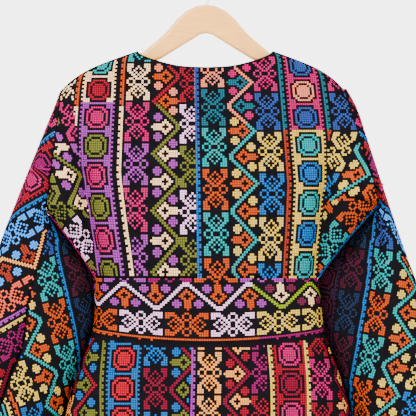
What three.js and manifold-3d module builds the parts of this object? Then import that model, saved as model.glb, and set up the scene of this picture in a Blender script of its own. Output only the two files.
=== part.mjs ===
// An embroidered kaftan hung on a wooden hanger, its back towards -Y and the wearer's left at -X.
// Millimetres, +Z up. The origin is where a rail bears, under the crown of the hanger's hook.
import * as THREE from 'three';
import { mergeVertices } from 'three/addons/utils/BufferGeometryUtils.js';
import Module from 'manifold-3d';

const { lerp, clamp, degToRad } = THREE.MathUtils;

// ---- driving dimensions ----
const CLOTH = 2.0; // thickness of the embroidered cloth
const SEAM_GAP = 0.3; // between two pieces at a seam
const NECK_Z = -141; // the points where neckline and shoulder seam meet
const WAIST_Z = -528; // upper seam of the waistband
const BAND_HEIGHT = 110; // waistband at the centre
const BAND_RISE = 16; // how much its lower seam rises towards the sides
const HEM_Z = -1520;
const RIDGE_RADIUS = 22; // rounding of the cloth over the hanger
const SIDE_POWER = 3; // squareness of the body's section
const SLEEVE_POWER = 0.8; // flatness of the sleeve's section
const CAP_TIP = 0.996; // the sleeve's cap ends this share up the armhole
const SIDE_CURVE = 1.15; // how much the bodice's side seams hollow above the waist

const BACK_SEAM = { top: -20, waist: -15 }; // x of the centre-back seam

// Corners of each side of the bodice: end of the shoulder, lowest point of the armhole, side waist.
const SIDES = {
  left: {
    sign: -1,
    neckX: 117,
    shoulder: { x: 246, z: -207 },
    underarm: { x: 272, z: -416 },
    waistX: 190,
  },
  right: {
    sign: 1,
    neckX: 114,
    shoulder: { x: 234, z: -205 },
    underarm: { x: 298, z: -402 },
    waistX: 194,
  },
};
const ARMHOLE_DEPTH = 46; // how far the armhole bows to the back and to the front

// Shoulder seam from the neck point (0) to the end of the shoulder (1): how far it has dropped.
const SHOULDER_LINE = [
  { along: 0, drop: 0 },
  { along: 0.36, drop: 0.25 },
  { along: 0.62, drop: 0.46 },
  { along: 0.84, drop: 0.72 },
  { along: 1, drop: 1 },
];

// Necklines from the centre (0) to the neck point (1): height below the neck points.
const NECKLINES = {
  back: [
    { along: 0, below: 28 },
    { along: 0.4, below: 25 },
    { along: 0.75, below: 15 },
    { along: 0.93, below: 7 },
    { along: 0.985, below: 3 },
    { along: 1, below: 0 },
  ],
  front: [
    { along: 0, below: 96 },
    { along: 0.35, below: 90 },
    { along: 0.7, below: 58 },
    { along: 0.9, below: 24 },
    { along: 0.985, below: 4.5 },
    { along: 1, below: 0 },
  ],
};

// Depth of the bodice at its centre, by height below the neck points.
const BODY_DEPTH = [
  { below: 0, back: 30, front: 20 },
  { below: 100, back: 50, front: 42 },
  { below: 200, back: 64, front: 60 },
  { below: 300, back: 66, front: 62 },
  { below: 387, back: 58, front: 56 },
];

// Long soft troughs of the bodice: ends of each in x and z, its depth and its half width. Each is
// at its deepest this share of the way down, and takes at most half of the body's depth.
const FOLD_RISE = 0.55;
const FOLD_LIMIT = 0.5;
const BODY_FOLDS = [
  { face: 'back', topX: -226, topZ: -235, lowX: -184, lowZ: -528, depth: 24, width: 15 },
  { face: 'back', topX: 212, topZ: -260, lowX: 190, lowZ: -528, depth: 24, width: 15 },
  { face: 'back', topX: -70, topZ: -430, lowX: -62, lowZ: -528, depth: 5, width: 20 },
  { face: 'back', topX: 84, topZ: -420, lowX: 74, lowZ: -528, depth: 5, width: 22 },
  { face: 'front', topX: -214, topZ: -250, lowX: -178, lowZ: -528, depth: 20, width: 17 },
  { face: 'front', topX: 222, topZ: -240, lowX: 182, lowZ: -528, depth: 22, width: 16 },
  { face: 'front', topX: -90, topZ: -300, lowX: -60, lowZ: -528, depth: 8, width: 26 },
  { face: 'front', topX: 80, topZ: -330, lowX: 66, lowZ: -528, depth: 7, width: 24 },
];

// Sections of the sleeves by height: the outer line, the edge that hangs beside the body, how far
// the cloth runs on inwards past that edge, half depth of the tube, and where the seams between
// upper and under sleeve lie on the back and on the front (0 outer line, 1 inner edge).
const SLEEVES = {
  left: [
    { z: -850, outX: 478, edgeX: 274, skew: 0, depth: 66, back: 0.47, front: 0.62 },
    { z: -762, outX: 452, edgeX: 247, skew: 0, depth: 62, back: 0.48, front: 0.63 },
    { z: -700, outX: 434, edgeX: 228, skew: 0, depth: 60, back: 0.49, front: 0.64 },
    { z: -641, outX: 413, edgeX: 209, skew: 7, depth: 58, back: 0.5, front: 0.66 },
    { z: -600, outX: 399, edgeX: 220, skew: 32, depth: 56, back: 0.51, front: 0.68 },
    { z: -560, outX: 384, edgeX: 232, skew: 51, depth: 55, back: 0.53, front: 0.7 },
    { z: -528, outX: 372, edgeX: 242, skew: 64, depth: 54, back: 0.57, front: 0.74 },
    { z: -490, outX: 358, edgeX: 253, skew: 50, depth: 52, back: 0.64, front: 0.79 },
    { z: -450, outX: 344, edgeX: 264, skew: 24, depth: 50, back: 0.77, front: 0.87 },
    { z: -416, outX: 330, edgeX: 272, skew: 0, depth: 47, back: 0.95, front: 0.95 },
    { z: -375, outX: 314, edgeX: 267, skew: 0, depth: 46, back: 1, front: 1 },
    { z: -293, outX: 281, edgeX: 257, skew: 0, depth: 46, back: 1, front: 1 },
    { z: -239, outX: 259, edgeX: 250, skew: 0, depth: 46, back: 1, front: 1 },
    { z: -207, outX: 247, edgeX: 246, skew: 0, depth: 46, back: 1, front: 1 },
  ],
  right: [
    { z: -850, outX: 470, edgeX: 278, skew: 0, depth: 66, back: 0.06, front: 0.62 },
    { z: -762, outX: 440, edgeX: 256, skew: 0, depth: 62, back: 0.06, front: 0.63 },
    { z: -720, outX: 425, edgeX: 246, skew: 14, depth: 60, back: 0.06, front: 0.64 },
    { z: -680, outX: 411, edgeX: 251, skew: 42, depth: 59, back: 0.06, front: 0.65 },
    { z: -641, outX: 396, edgeX: 258, skew: 70, depth: 58, back: 0.06, front: 0.66 },
    { z: -600, outX: 382, edgeX: 267, skew: 90, depth: 56, back: 0.06, front: 0.68 },
    { z: -560, outX: 367, edgeX: 276, skew: 104, depth: 55, back: 0.06, front: 0.7 },
    { z: -528, outX: 356, edgeX: 282, skew: 110, depth: 54, back: 0.09, front: 0.74 },
    { z: -490, outX: 342, edgeX: 289, skew: 88, depth: 52, back: 0.2, front: 0.79 },
    { z: -440, outX: 324, edgeX: 297, skew: 42, depth: 50, back: 0.55, front: 0.87 },
    { z: -402, outX: 311, edgeX: 298, skew: 0, depth: 47, back: 0.95, front: 0.95 },
    { z: -336, outX: 289, edgeX: 278, skew: 0, depth: 46, back: 1, front: 1 },
    { z: -271, outX: 268, edgeX: 257, skew: 0, depth: 46, back: 1, front: 1 },
    { z: -239, outX: 257, edgeX: 246, skew: 0, depth: 46, back: 1, front: 1 },
    { z: -205, outX: 239, edgeX: 234, skew: 0, depth: 46, back: 1, front: 1 },
  ],
};

// Troughs along the sleeves: place round the tube (- on the back, + on the front, 0 outer line,
// 1 inner edge), heights where they start and are deepest, their depth and their half width.
const SLEEVE_FOLDS = {
  left: [
    { round: -0.5, start: -480, full: -650, depth: 15, width: 0.075 },
    { round: -0.22, start: -480, full: -760, depth: 13, width: 0.07 },
    { round: 0.3, start: -300, full: -640, depth: 16, width: 0.08 },
    { round: 0.6, start: -420, full: -760, depth: 14, width: 0.08 },
  ],
  right: [
    { round: -0.42, start: -560, full: -800, depth: 12, width: 0.08 },
    { round: -0.7, start: -600, full: -800, depth: 9, width: 0.06 },
    { round: 0.25, start: -300, full: -640, depth: 16, width: 0.08 },
    { round: 0.55, start: -400, full: -760, depth: 15, width: 0.08 },
  ],
};
const CUFF_Z = -850;
const SKEW_SOFTNESS = 1.1; // how gently the run inwards fades from the front of the sleeve to its back

// Waistband and skirt, from the upper seam of the band down.
const GIRTH = [
  { z: -1520, width: 398, back: 150, front: 140, fold: 1 },
  { z: -1300, width: 360, back: 134, front: 126, fold: 0.8 },
  { z: -1100, width: 322, back: 118, front: 112, fold: 0.62 },
  { z: -900, width: 274, back: 98, front: 95, fold: 0.42 },
  { z: -762, width: 236, back: 80, front: 78, fold: 0.28 },
  { z: -700, width: 219, back: 72, front: 70, fold: 0.2 },
  { z: -640, width: 199, back: 63, front: 61, fold: 0.08 },
  { z: -610, width: 194, back: 60, front: 58, fold: 0 },
  { z: -528, width: 190, back: 58, front: 56, fold: 0 },
];
const BAND_SHIFT = 4; // the waist hangs this far towards +X of the neck
const FOLD_SHARE = 0.45; // of a fold's depth that goes into the skirt's section
const FOLD_NARROWING = 0.35; // how much of a fold draws the section in sideways

// Folds of the skirt round its girth: degrees from +X towards the back, depth at the hem, half width.
const SKIRT_FOLDS = [
  { at: 12, depth: 26, width: 6 },
  { at: 34, depth: 24, width: 5 },
  { at: 62, depth: 34, width: 4.5 },
  { at: 84, depth: 18, width: 6 },
  { at: 106, depth: 26, width: 6 },
  { at: 131, depth: 22, width: 6 },
  { at: 152, depth: 30, width: 5.5 },
  { at: 171, depth: 22, width: 5 },
  { at: 196, depth: 26, width: 6 },
  { at: 222, depth: 24, width: 6 },
  { at: 248, depth: 30, width: 5.5 },
  { at: 272, depth: 20, width: 6 },
  { at: 297, depth: 28, width: 6 },
  { at: 322, depth: 24, width: 5.5 },
  { at: 346, depth: 26, width: 5.5 },
];

// ---- numbers of facets ----
const NECK_STEPS = [0, 0.25, 0.5, 0.75, 0.92, 0.985]; // shares of the half neckline
const SHOULDER_COLUMNS = 8;
const SIDE_ROWS = 5;
const ARMHOLE_ROWS = 12;
const SLEEVE_ROWS = 9; // below the underarm
const UPPER_COLUMNS = 18;
const UNDER_COLUMNS = 12;
const BAND_COLUMNS = 26;
const BAND_ROWS = 3;
const SKIRT_COLUMNS = 34;
const SKIRT_ROWS = 7;

// ---- curves through tables ----

/** Smooth value of one column of a table whose rows rise in `key`. */
function fromTable(rows, key, column, at) {
  let k = 0;
  while (k < rows.length - 2 && at > rows[k + 1][key]) k += 1;
  const here = rows[k];
  const next = rows[k + 1];
  const before = rows[Math.max(k - 1, 0)];
  const after = rows[Math.min(k + 2, rows.length - 1)];
  const span = next[key] - here[key];
  const t = clamp((at - here[key]) / span, 0, 1);
  const slopeIn = (span * (next[column] - before[column])) / (next[key] - before[key]);
  const slopeOut = (span * (after[column] - here[column])) / (after[key] - here[key]);
  const t2 = t * t;
  const t3 = t2 * t;
  return (
    here[column] * (2 * t3 - 3 * t2 + 1) +
    slopeIn * (t3 - 2 * t2 + t) +
    next[column] * (3 * t2 - 2 * t3) +
    slopeOut * (t3 - t2)
  );
}

/** Rises smoothly from 0 at `from` to 1 at `to`. */
function ramp(from, to, value) {
  const t = clamp((value - from) / (to - from), 0, 1);
  return t * t * (3 - 2 * t);
}

/** The lesser of two positive lengths, with a round change from one to the other. */
function softMin(a, b) {
  const least = 1e-6;
  return (Math.max(a, least) ** -4 + Math.max(b, least) ** -4) ** -0.25;
}

/** A bell of height 1 round 0. */
function bell(distance, width) {
  return Math.exp(-((distance / width) ** 2));
}

// ---- cloth walls ----

/** Outward normals of a grid of points, turned by `side` (1 or -1). */
function gridNormals(points, side) {
  const last = points.length - 1;
  const end = points[0].length - 1;
  return points.map((column, i) =>
    column.map((_, j) => {
      const across = points[Math.min(i + 1, last)][j].clone().sub(points[Math.max(i - 1, 0)][j]);
      const along = points[i][Math.min(j + 1, end)].clone().sub(points[i][Math.max(j - 1, 0)]);
      return across.cross(along).normalize().multiplyScalar(side);
    }),
  );
}

/** A closed wall of cloth: `points` is its outer face, `normals` point out of it. */
function clothWall(points, normals, side) {
  const columns = points.length;
  const rows = points[0].length;
  const inner = points.map((column, i) =>
    column.map((point, j) => point.clone().addScaledVector(normals[i][j], -CLOTH)),
  );
  const positions = [];
  const addQuad = (a, b, c, d) => {
    const corners = side > 0 ? [a, b, c, a, c, d] : [a, c, b, a, d, c];
    corners.forEach((corner) => positions.push(corner.x, corner.y, corner.z));
  };
  for (let i = 0; i < columns - 1; i += 1) {
    for (let j = 0; j < rows - 1; j += 1) {
      addQuad(points[i][j], points[i + 1][j], points[i + 1][j + 1], points[i][j + 1]);
      addQuad(inner[i][j], inner[i][j + 1], inner[i + 1][j + 1], inner[i + 1][j]);
    }
  }
  for (let i = 0; i < columns - 1; i += 1) {
    const top = rows - 1;
    addQuad(points[i][0], inner[i][0], inner[i + 1][0], points[i + 1][0]);
    addQuad(points[i][top], points[i + 1][top], inner[i + 1][top], inner[i][top]);
  }
  for (let j = 0; j < rows - 1; j += 1) {
    const end = columns - 1;
    addQuad(points[0][j], points[0][j + 1], inner[0][j + 1], inner[0][j]);
    addQuad(points[end][j], inner[end][j], inner[end][j + 1], points[end][j + 1]);
  }
  const wall = new THREE.BufferGeometry();
  wall.setAttribute('position', new THREE.Float32BufferAttribute(positions, 3));
  return wall;
}

/** Moves one border of a grid half a seam gap back towards the next row or column. */
function drawBack(points, border) {
  const last = points.length - 1;
  const end = points[0].length - 1;
  const pull = (point, neighbour) => {
    const step = neighbour.clone().sub(point);
    point.addScaledVector(step, SEAM_GAP / 2 / step.length());
  };
  if (border === 'first') points[0].forEach((point, j) => pull(point, points[1][j]));
  if (border === 'last') points[last].forEach((point, j) => pull(point, points[last - 1][j]));
  if (border === 'bottom') points.forEach((column) => pull(column[0], column[1]));
  if (border === 'top') points.forEach((column) => pull(column[end], column[end - 1]));
}

/** Takes one direction out of a normal, so that a border's wall ends square on a seam's plane. */
function squareTo(normal, axis) {
  normal[axis] = 0;
  normal.normalize();
}

// ---- bodice ----

/** How far the wall of the armhole stands off the seam's plane, from underarm (0) to shoulder (1). */
function armholeBow(corner, up) {
  const drop = (corner.shoulder.z - corner.underarm.z) * (1 - up);
  const bow = ARMHOLE_DEPTH * Math.max(1 - Math.abs(2 * up - 1) ** 3, 0) ** (1 / 3);
  return softMin(Math.sqrt(2 * RIDGE_RADIUS * drop), bow);
}

/** Heights of the bodice's rows from waist (0) to shoulder (1), with the share up the armhole. */
function bodiceRows(corner) {
  const sideShare = (corner.underarm.z - WAIST_Z) / (corner.shoulder.z - WAIST_Z);
  const rows = [];
  for (let j = 0; j < SIDE_ROWS; j += 1) rows.push({ t: (sideShare * j) / SIDE_ROWS, up: 0 });
  for (let j = 0; j <= ARMHOLE_ROWS; j += 1) {
    const up = (1 - Math.cos((Math.PI * j) / ARMHOLE_ROWS)) / 2;
    rows.push({ t: sideShare + (1 - sideShare) * up, up });
  }
  return rows;
}

/** Places of the bodice's columns from the centre (0) to the side (1). */
function bodiceColumns(corner, centreX) {
  const neckShare = (corner.neckX - centreX) / (corner.shoulder.x - centreX);
  const columns = [];
  NECK_STEPS.forEach((step) => columns.push(neckShare * step));
  for (let i = 0; i <= SHOULDER_COLUMNS; i += 1) {
    const turn = Math.sin((Math.PI / 2) * (i / SHOULDER_COLUMNS));
    columns.push(neckShare + (1 - neckShare) * turn);
  }
  return columns.map((s) => ({ s, neckShare }));
}

/** Top border of a half bodice: neckline up to the neck point, then the shoulder seam. */
function topBorder(corner, face, centreX, column) {
  const x = lerp(centreX, corner.shoulder.x, column.s);
  if (column.s < column.neckShare) {
    const along = Math.abs(x) / corner.neckX;
    const z = NECK_Z - fromTable(NECKLINES[face], 'along', 'below', along);
    return { x, z, ridge: NECK_Z };
  }
  const along = (x - corner.neckX) / (corner.shoulder.x - corner.neckX);
  const z = lerp(NECK_Z, corner.shoulder.z, fromTable(SHOULDER_LINE, 'along', 'drop', along));
  return { x, z, ridge: z };
}

/** Side of a half bodice: side seam by its share above the waist, then armhole by `up`. */
function sideLine(corner, aboveWaist, up) {
  const { underarm, shoulder, waistX } = corner;
  if (up > 0) return { x: lerp(underarm.x, shoulder.x, up), z: lerp(underarm.z, shoulder.z, up) };
  const x = lerp(waistX, underarm.x, aboveWaist ** SIDE_CURVE);
  return { x, z: lerp(WAIST_Z, underarm.z, aboveWaist) };
}

/** Half of the bodice's back or front, from the centre to the side: grid[column][row]. */
function halfBodice(corner, face, centre) {
  const outward = face === 'back' ? -1 : 1;
  const mirror = corner.sign;
  const rows = bodiceRows(corner);
  const columns = bodiceColumns(corner, centre.top * mirror);
  return columns.map((column) => {
    const { s } = column;
    const top = topBorder(corner, face, centre.top * mirror, column);
    const low = { x: lerp(centre.waist * mirror, corner.waistX, s), z: WAIST_Z };
    const centreTop = NECK_Z - NECKLINES[face][0].below;
    return rows.map(({ t, up }) => {
      const side = sideLine(corner, t / rows[SIDE_ROWS].t, up);
      const middleX = lerp(centre.waist, centre.top, t) * mirror;
      const middle = { x: middleX, z: lerp(WAIST_Z, centreTop, t) };
      const blend = (axis, c00, c10, c01, c11) =>
        lerp(middle[axis], side[axis], s) + lerp(low[axis], top[axis], t) -
        lerp(lerp(c00, c10, s), lerp(c01, c11, s), t);
      const lowX = centre.waist * mirror;
      const x = blend('x', lowX, corner.waistX, centre.top * mirror, corner.shoulder.x);
      const z = blend('z', WAIST_Z, WAIST_Z, centreTop, corner.shoulder.z);
      const centreDepth = fromTable(BODY_DEPTH, 'below', face, NECK_Z - z);
      const bow = armholeBow(corner, up);
      const round = (1 - Math.min(Math.abs(s), 1) ** SIDE_POWER) ** (1 / SIDE_POWER);
      const full = bow + (centreDepth - bow) * round;
      const ridge = Math.sqrt(2 * RIDGE_RADIUS * Math.max(top.ridge - z, 0));
      let depth = s < 1 ? softMin(ridge, full) : bow;
      BODY_FOLDS.filter((fold) => fold.face === face).forEach((fold) => {
        const down = (fold.topZ - z) / (fold.topZ - fold.lowZ);
        const axisX = lerp(fold.topX, fold.lowX, clamp(down, 0, 1));
        const shape = bell(x * mirror - axisX, fold.width) * ramp(0, FOLD_RISE, down);
        depth -= Math.min(fold.depth, depth * FOLD_LIMIT) * shape * (s < 1 ? 1 : 0);
      });
      return new THREE.Vector3(x * mirror, outward * depth, z);
    });
  });
}

/** Squares the wall's ends on the planes of the shoulder, side and waist seams. */
function squareBodice(normals, sideColumn) {
  const top = normals[0].length - 1;
  normals.forEach((column, i) => {
    squareTo(column[0], 'z');
    const overShoulder = Math.abs(i - sideColumn) <= SHOULDER_COLUMNS;
    if (overShoulder) squareTo(column[top], 'y');
  });
  for (let j = 0; j <= SIDE_ROWS; j += 1) squareTo(normals[sideColumn][j], 'y');
}

// ---- sleeves ----

/** Rows of a sleeve from cuff to shoulder: height, and the share up the armhole above the underarm. */
function sleeveRows(corner) {
  const rows = [];
  for (let j = 0; j < SLEEVE_ROWS; j += 1) {
    rows.push({ z: lerp(CUFF_Z, corner.underarm.z, j / SLEEVE_ROWS), up: 0 });
  }
  for (let j = 0; j <= ARMHOLE_ROWS; j += 1) {
    const up = Math.min((1 - Math.cos((Math.PI * j) / ARMHOLE_ROWS)) / 2, CAP_TIP);
    rows.push({ z: lerp(corner.underarm.z, corner.shoulder.z, up), up });
  }
  return rows;
}

/** Angle of the armhole round the sleeve's section: 1 at the underarm, 0.5 on the upper armhole. */
function armholeRound(corner, row, depth) {
  if (row.up >= 0.5) return 0.5;
  const bow = Math.min(armholeBow(corner, row.up) / depth, 1);
  return 1 - Math.asin(bow ** (1 / SLEEVE_POWER)) / Math.PI;
}

/** Point of a sleeve: `round` from -1 (inner edge) over -0.5 (back), 0 (outer line) to 1. */
function sleevePoint(name, round, row) {
  const corner = SIDES[name];
  const value = (column) => fromTable(SLEEVES[name], 'z', column, row.z);
  const bow = armholeBow(corner, row.up);
  const depth = row.up >= 0.5 ? bow : value('depth');
  const end = row.up > 0 ? armholeRound(corner, row, depth) : 1;
  const turn = Math.sin(Math.PI * round);
  const edgeX = row.up > 0 ? lerp(corner.underarm.x, corner.shoulder.x, row.up) : value('edgeX');
  const half = (value('outX') - edgeX) / (1 - Math.cos(Math.PI * end));
  let y = Math.sign(turn) * Math.abs(turn) ** SLEEVE_POWER * depth;
  SLEEVE_FOLDS[name].forEach((fold) => {
    const near = bell(round - fold.round, fold.width) * ramp(-fold.start, -fold.full, -row.z);
    y -= Math.sign(fold.round) * fold.depth * near;
  });
  const inner = (1 - Math.cos(Math.PI * round)) / 2;
  const inward = value('skew') * inner ** 2 * clamp(0.5 + turn / SKEW_SOFTNESS, 0, 1);
  const x = value('outX') - half * 2 * inner - inward;
  return new THREE.Vector3(x * corner.sign, y, row.z);
}

/** Grid of one piece of a sleeve between two places round the tube, which change with the row. */
function sleeveGrid(name, rows, columns, startOf, endOf) {
  const grid = [];
  for (let i = 0; i <= columns; i += 1) {
    const roundOf = (row) => lerp(startOf(row), endOf(row), i / columns);
    grid.push(rows.map((row) => sleevePoint(name, roundOf(row), row)));
  }
  return grid;
}

// ---- waistband and skirt ----

/** Height of the band's lower seam at a place across the body. */
function bandFoot(x) {
  return WAIST_Z - BAND_HEIGHT + BAND_RISE * (x / SIDES.left.waistX) ** 2;
}

/** Point of the girth at an angle (0 at +X, 90 at the back, 180 at -X) and a height. */
function girthPoint(angle, z) {
  const value = (column) => fromTable(GIRTH, 'z', column, z);
  const turn = degToRad(angle);
  const back = Math.sin(turn) >= 0;
  const power = 2 / SIDE_POWER;
  const signed = (base) => Math.sign(base) * Math.abs(base) ** power;
  const waves = SKIRT_FOLDS.map((fold) => fold.depth * bell(angle - fold.at, fold.width));
  const wave = waves.reduce((sum, depth) => sum + depth, 0);
  const share = 1 - (FOLD_SHARE * value('fold') * wave) / value('back');
  const x = signed(Math.cos(turn)) * value('width') * (1 - (1 - share) * FOLD_NARROWING);
  const y = -signed(Math.sin(turn)) * value(back ? 'back' : 'front') * share;
  const shift = BAND_SHIFT * ramp(WAIST_Z, WAIST_Z - BAND_HEIGHT / 2, z);
  return new THREE.Vector3(x + shift, y, z);
}

/** Grid of a panel of the girth between two angles; heights run up from `lowOf` to `topOf`. */
function girthGrid(startAngle, columns, rows, lowOf, topOf) {
  const grid = [];
  for (let i = 0; i <= columns; i += 1) {
    const angle = startAngle + (180 * i) / columns;
    const acrossX = girthPoint(angle, WAIST_Z).x;
    const column = [];
    for (let j = 0; j <= rows; j += 1) {
      const z = lerp(lowOf(acrossX), topOf(acrossX), j / rows);
      column.push(girthPoint(angle, z));
    }
    grid.push(column);
  }
  return grid;
}

/** Wall of a half girth, its ends square on the side seams. */
function girthPanel(grid, side) {
  const normals = gridNormals(grid, side);
  const end = grid.length - 1;
  normals[0].forEach((normal) => squareTo(normal, 'y'));
  normals[end].forEach((normal) => squareTo(normal, 'y'));
  normals.forEach((column) => column.forEach((normal) => squareTo(normal, 'z')));
  ['first', 'last', 'bottom', 'top'].forEach((border) => drawBack(grid, border));
  return clothWall(grid, normals, side);
}

// ---- hanger ----
const HANGER = { thickness: 12, round: 5, seat: 0.7 }; // plywood, its rounding, gap under the cloth
const HOOK = { wire: 4, radius: 24, bore: 4.6, sunk: 18 };
const HOOK_ARC = { start: 200, end: -30, step: 23 }; // degrees from +X over the crown

// How the wire comes back from the arc to the middle of the head: x, and z above the head's top.
const HOOK_NECK = [
  { x: 8, above: 12 },
  { x: 1, above: 5 },
  { x: 0, above: -3 },
  { x: 0, above: -HOOK.sunk },
];

// Upper outline of half the hanger's head, then its lower outline out to the tip, from the middle.
const HEAD_OUTLINE = [
  { x: 0, z: -62 },
  { x: 16, z: -64 },
  { x: 34, z: -73 },
  { x: 50, z: -87 },
  { x: 66, z: -107 },
  { x: 82, z: -122 },
  { x: 98, z: -135 },
  { x: 108, z: -144 },
];
const FOOT_OUTLINE = [
  { x: 0, z: -111 },
  { x: 10, z: -113 },
  { x: 76, z: -154 },
  { x: 130, z: -177 },
  { x: 190, z: -200 },
];
const ARM_TIP = { x: 218, drop: 15, halfHeight: 7, upperCorner: 14, noseCorner: 4, lowerCorner: 8 };

/** Upper edge of the arm, which carries the shoulder seam from just inside. */
function armTop(corner, x) {
  const along = (x - corner.neckX) / (corner.shoulder.x - corner.neckX);
  const seam = lerp(NECK_Z, corner.shoulder.z, fromTable(SHOULDER_LINE, 'along', 'drop', along));
  const slope = (corner.shoulder.z - NECK_Z) / (corner.shoulder.x - corner.neckX);
  return seam - (CLOTH + HANGER.seat) * Math.hypot(1, slope);
}

/** Half of the hanger's outline from the middle of the head round to the middle below. */
function halfOutline(corner) {
  const points = HEAD_OUTLINE.map(({ x, z }) => new THREE.Vector2(x * corner.sign, z));
  const add = (x, z) => points.push(new THREE.Vector2(x * corner.sign, z));
  const armEnd = ARM_TIP.x - ARM_TIP.upperCorner;
  const armSteps = 5;
  for (let k = 0; k <= armSteps; k += 1) {
    const x = lerp(corner.neckX + 1, armEnd, k / armSteps);
    add(x, armTop(corner, x));
  }
  const tipZ = armTop(corner, armEnd) - ARM_TIP.drop;
  add(ARM_TIP.x - ARM_TIP.noseCorner, tipZ + ARM_TIP.halfHeight);
  add(ARM_TIP.x, tipZ);
  add(ARM_TIP.x - ARM_TIP.lowerCorner, tipZ - ARM_TIP.halfHeight);
  [...FOOT_OUTLINE].reverse().forEach(({ x, z }) => add(x, z));
  return points;
}

/** A closed three.js geometry as a solid that can be cut. */
function toSolid(wasm, geometry) {
  const bare = geometry.clone();
  bare.deleteAttribute('normal');
  bare.deleteAttribute('uv');
  const merged = mergeVertices(bare, 1e-4);
  const mesh = new wasm.Mesh({
    numProp: 3,
    vertProperties: new Float32Array(merged.getAttribute('position').array),
    triVerts: new Uint32Array(merged.index.array),
  });
  return new wasm.Manifold(mesh);
}

/** A cut solid as a three.js geometry. */
function toGeometry(solid) {
  const { vertProperties, triVerts } = solid.getMesh();
  const geometry = new THREE.BufferGeometry();
  geometry.setAttribute('position', new THREE.BufferAttribute(vertProperties, 3));
  geometry.setIndex(new THREE.BufferAttribute(triVerts, 1));
  return geometry.toNonIndexed();
}

async function makeHanger() {
  const wasm = await Module();
  wasm.setup();
  const right = halfOutline(SIDES.right);
  const left = halfOutline(SIDES.left).reverse();
  const outline = new THREE.Shape([...right, ...left.slice(1, -1)]);
  const board = new THREE.ExtrudeGeometry(outline, {
    depth: HANGER.thickness - 2 * HANGER.round,
    bevelThickness: HANGER.round,
    bevelSize: HANGER.round,
    bevelOffset: -HANGER.round,
    bevelSegments: 3,
    curveSegments: 4,
  });
  board.translate(0, 0, HANGER.round - HANGER.thickness / 2);
  board.rotateX(Math.PI / 2);
  const bore = new THREE.CylinderGeometry(HOOK.bore / 2, HOOK.bore / 2, 2 * HOOK.sunk + 2, 12);
  bore.rotateX(Math.PI / 2);
  bore.translate(0, 0, HEAD_OUTLINE[0].z);
  return toGeometry(toSolid(wasm, board).subtract(toSolid(wasm, bore)));
}

function makeHook() {
  const centreZ = HOOK.wire / 2 - HOOK.radius;
  const points = [];
  for (let angle = HOOK_ARC.start; angle >= HOOK_ARC.end; angle -= HOOK_ARC.step) {
    const turn = degToRad(angle);
    const z = centreZ + HOOK.radius * Math.sin(turn);
    points.push(new THREE.Vector3(HOOK.radius * Math.cos(turn), 0, z));
  }
  const headZ = HEAD_OUTLINE[0].z;
  HOOK_NECK.forEach(({ x, above }) => points.push(new THREE.Vector3(x, 0, headZ + above)));
  const section = new THREE.Shape();
  section.absarc(0, 0, HOOK.wire / 2, 0, 2 * Math.PI);
  return new THREE.ExtrudeGeometry(section, {
    steps: 30,
    curveSegments: 4,
    extrudePath: new THREE.CatmullRomCurve3(points),
  });
}

// ---- materials ----
const MATERIALS = {
  bodice: new THREE.MeshStandardMaterial({ color: 0x8c5a86, roughness: 0.9, metalness: 0 }),
  sleeve: new THREE.MeshStandardMaterial({ color: 0x2a7f93, roughness: 0.9, metalness: 0 }),
  underSleeve: new THREE.MeshStandardMaterial({ color: 0x35a39c, roughness: 0.9, metalness: 0 }),
  band: new THREE.MeshStandardMaterial({ color: 0xb8713f, roughness: 0.9, metalness: 0 }),
  skirt: new THREE.MeshStandardMaterial({ color: 0xa32c4a, roughness: 0.9, metalness: 0 }),
  wood: new THREE.MeshStandardMaterial({ color: 0xe0bc92, roughness: 0.55, metalness: 0 }),
  wire: new THREE.MeshStandardMaterial({ color: 0xa8a8a6, roughness: 0.3, metalness: 1 }),
};

const kaftan = new THREE.Group();

/** Adds a piece under its name. */
function addPiece(name, geometry, material) {
  geometry.computeVertexNormals();
  const mesh = new THREE.Mesh(geometry, material);
  mesh.name = name;
  kaftan.add(mesh);
}

/** Shares the directions of two walls along the seam of an armhole. */
function shareNormals(bodiceNormals, sleeveNormals) {
  bodiceNormals.forEach((normal, k) => {
    const shared = normal.clone().add(sleeveNormals[k]).normalize();
    normal.copy(shared);
    sleeveNormals[k].copy(shared);
  });
}

// ---- assembly: bodice and sleeves ----
const backGrids = {};
const backNormals = {};
const frontHalves = {};
Object.entries(SIDES).forEach(([name, corner]) => {
  backGrids[name] = halfBodice(corner, 'back', BACK_SEAM);
  backNormals[name] = gridNormals(backGrids[name], corner.sign);
  squareBodice(backNormals[name], backGrids[name].length - 1);
  frontHalves[name] = halfBodice(corner, 'front', { top: 0, waist: 0 });
});

const frontGrid = [...[...frontHalves.left].reverse(), ...frontHalves.right.slice(1)];
const frontNormals = gridNormals(frontGrid, -1);
squareBodice(frontNormals, 0);
squareBodice(frontNormals, frontGrid.length - 1);

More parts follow.
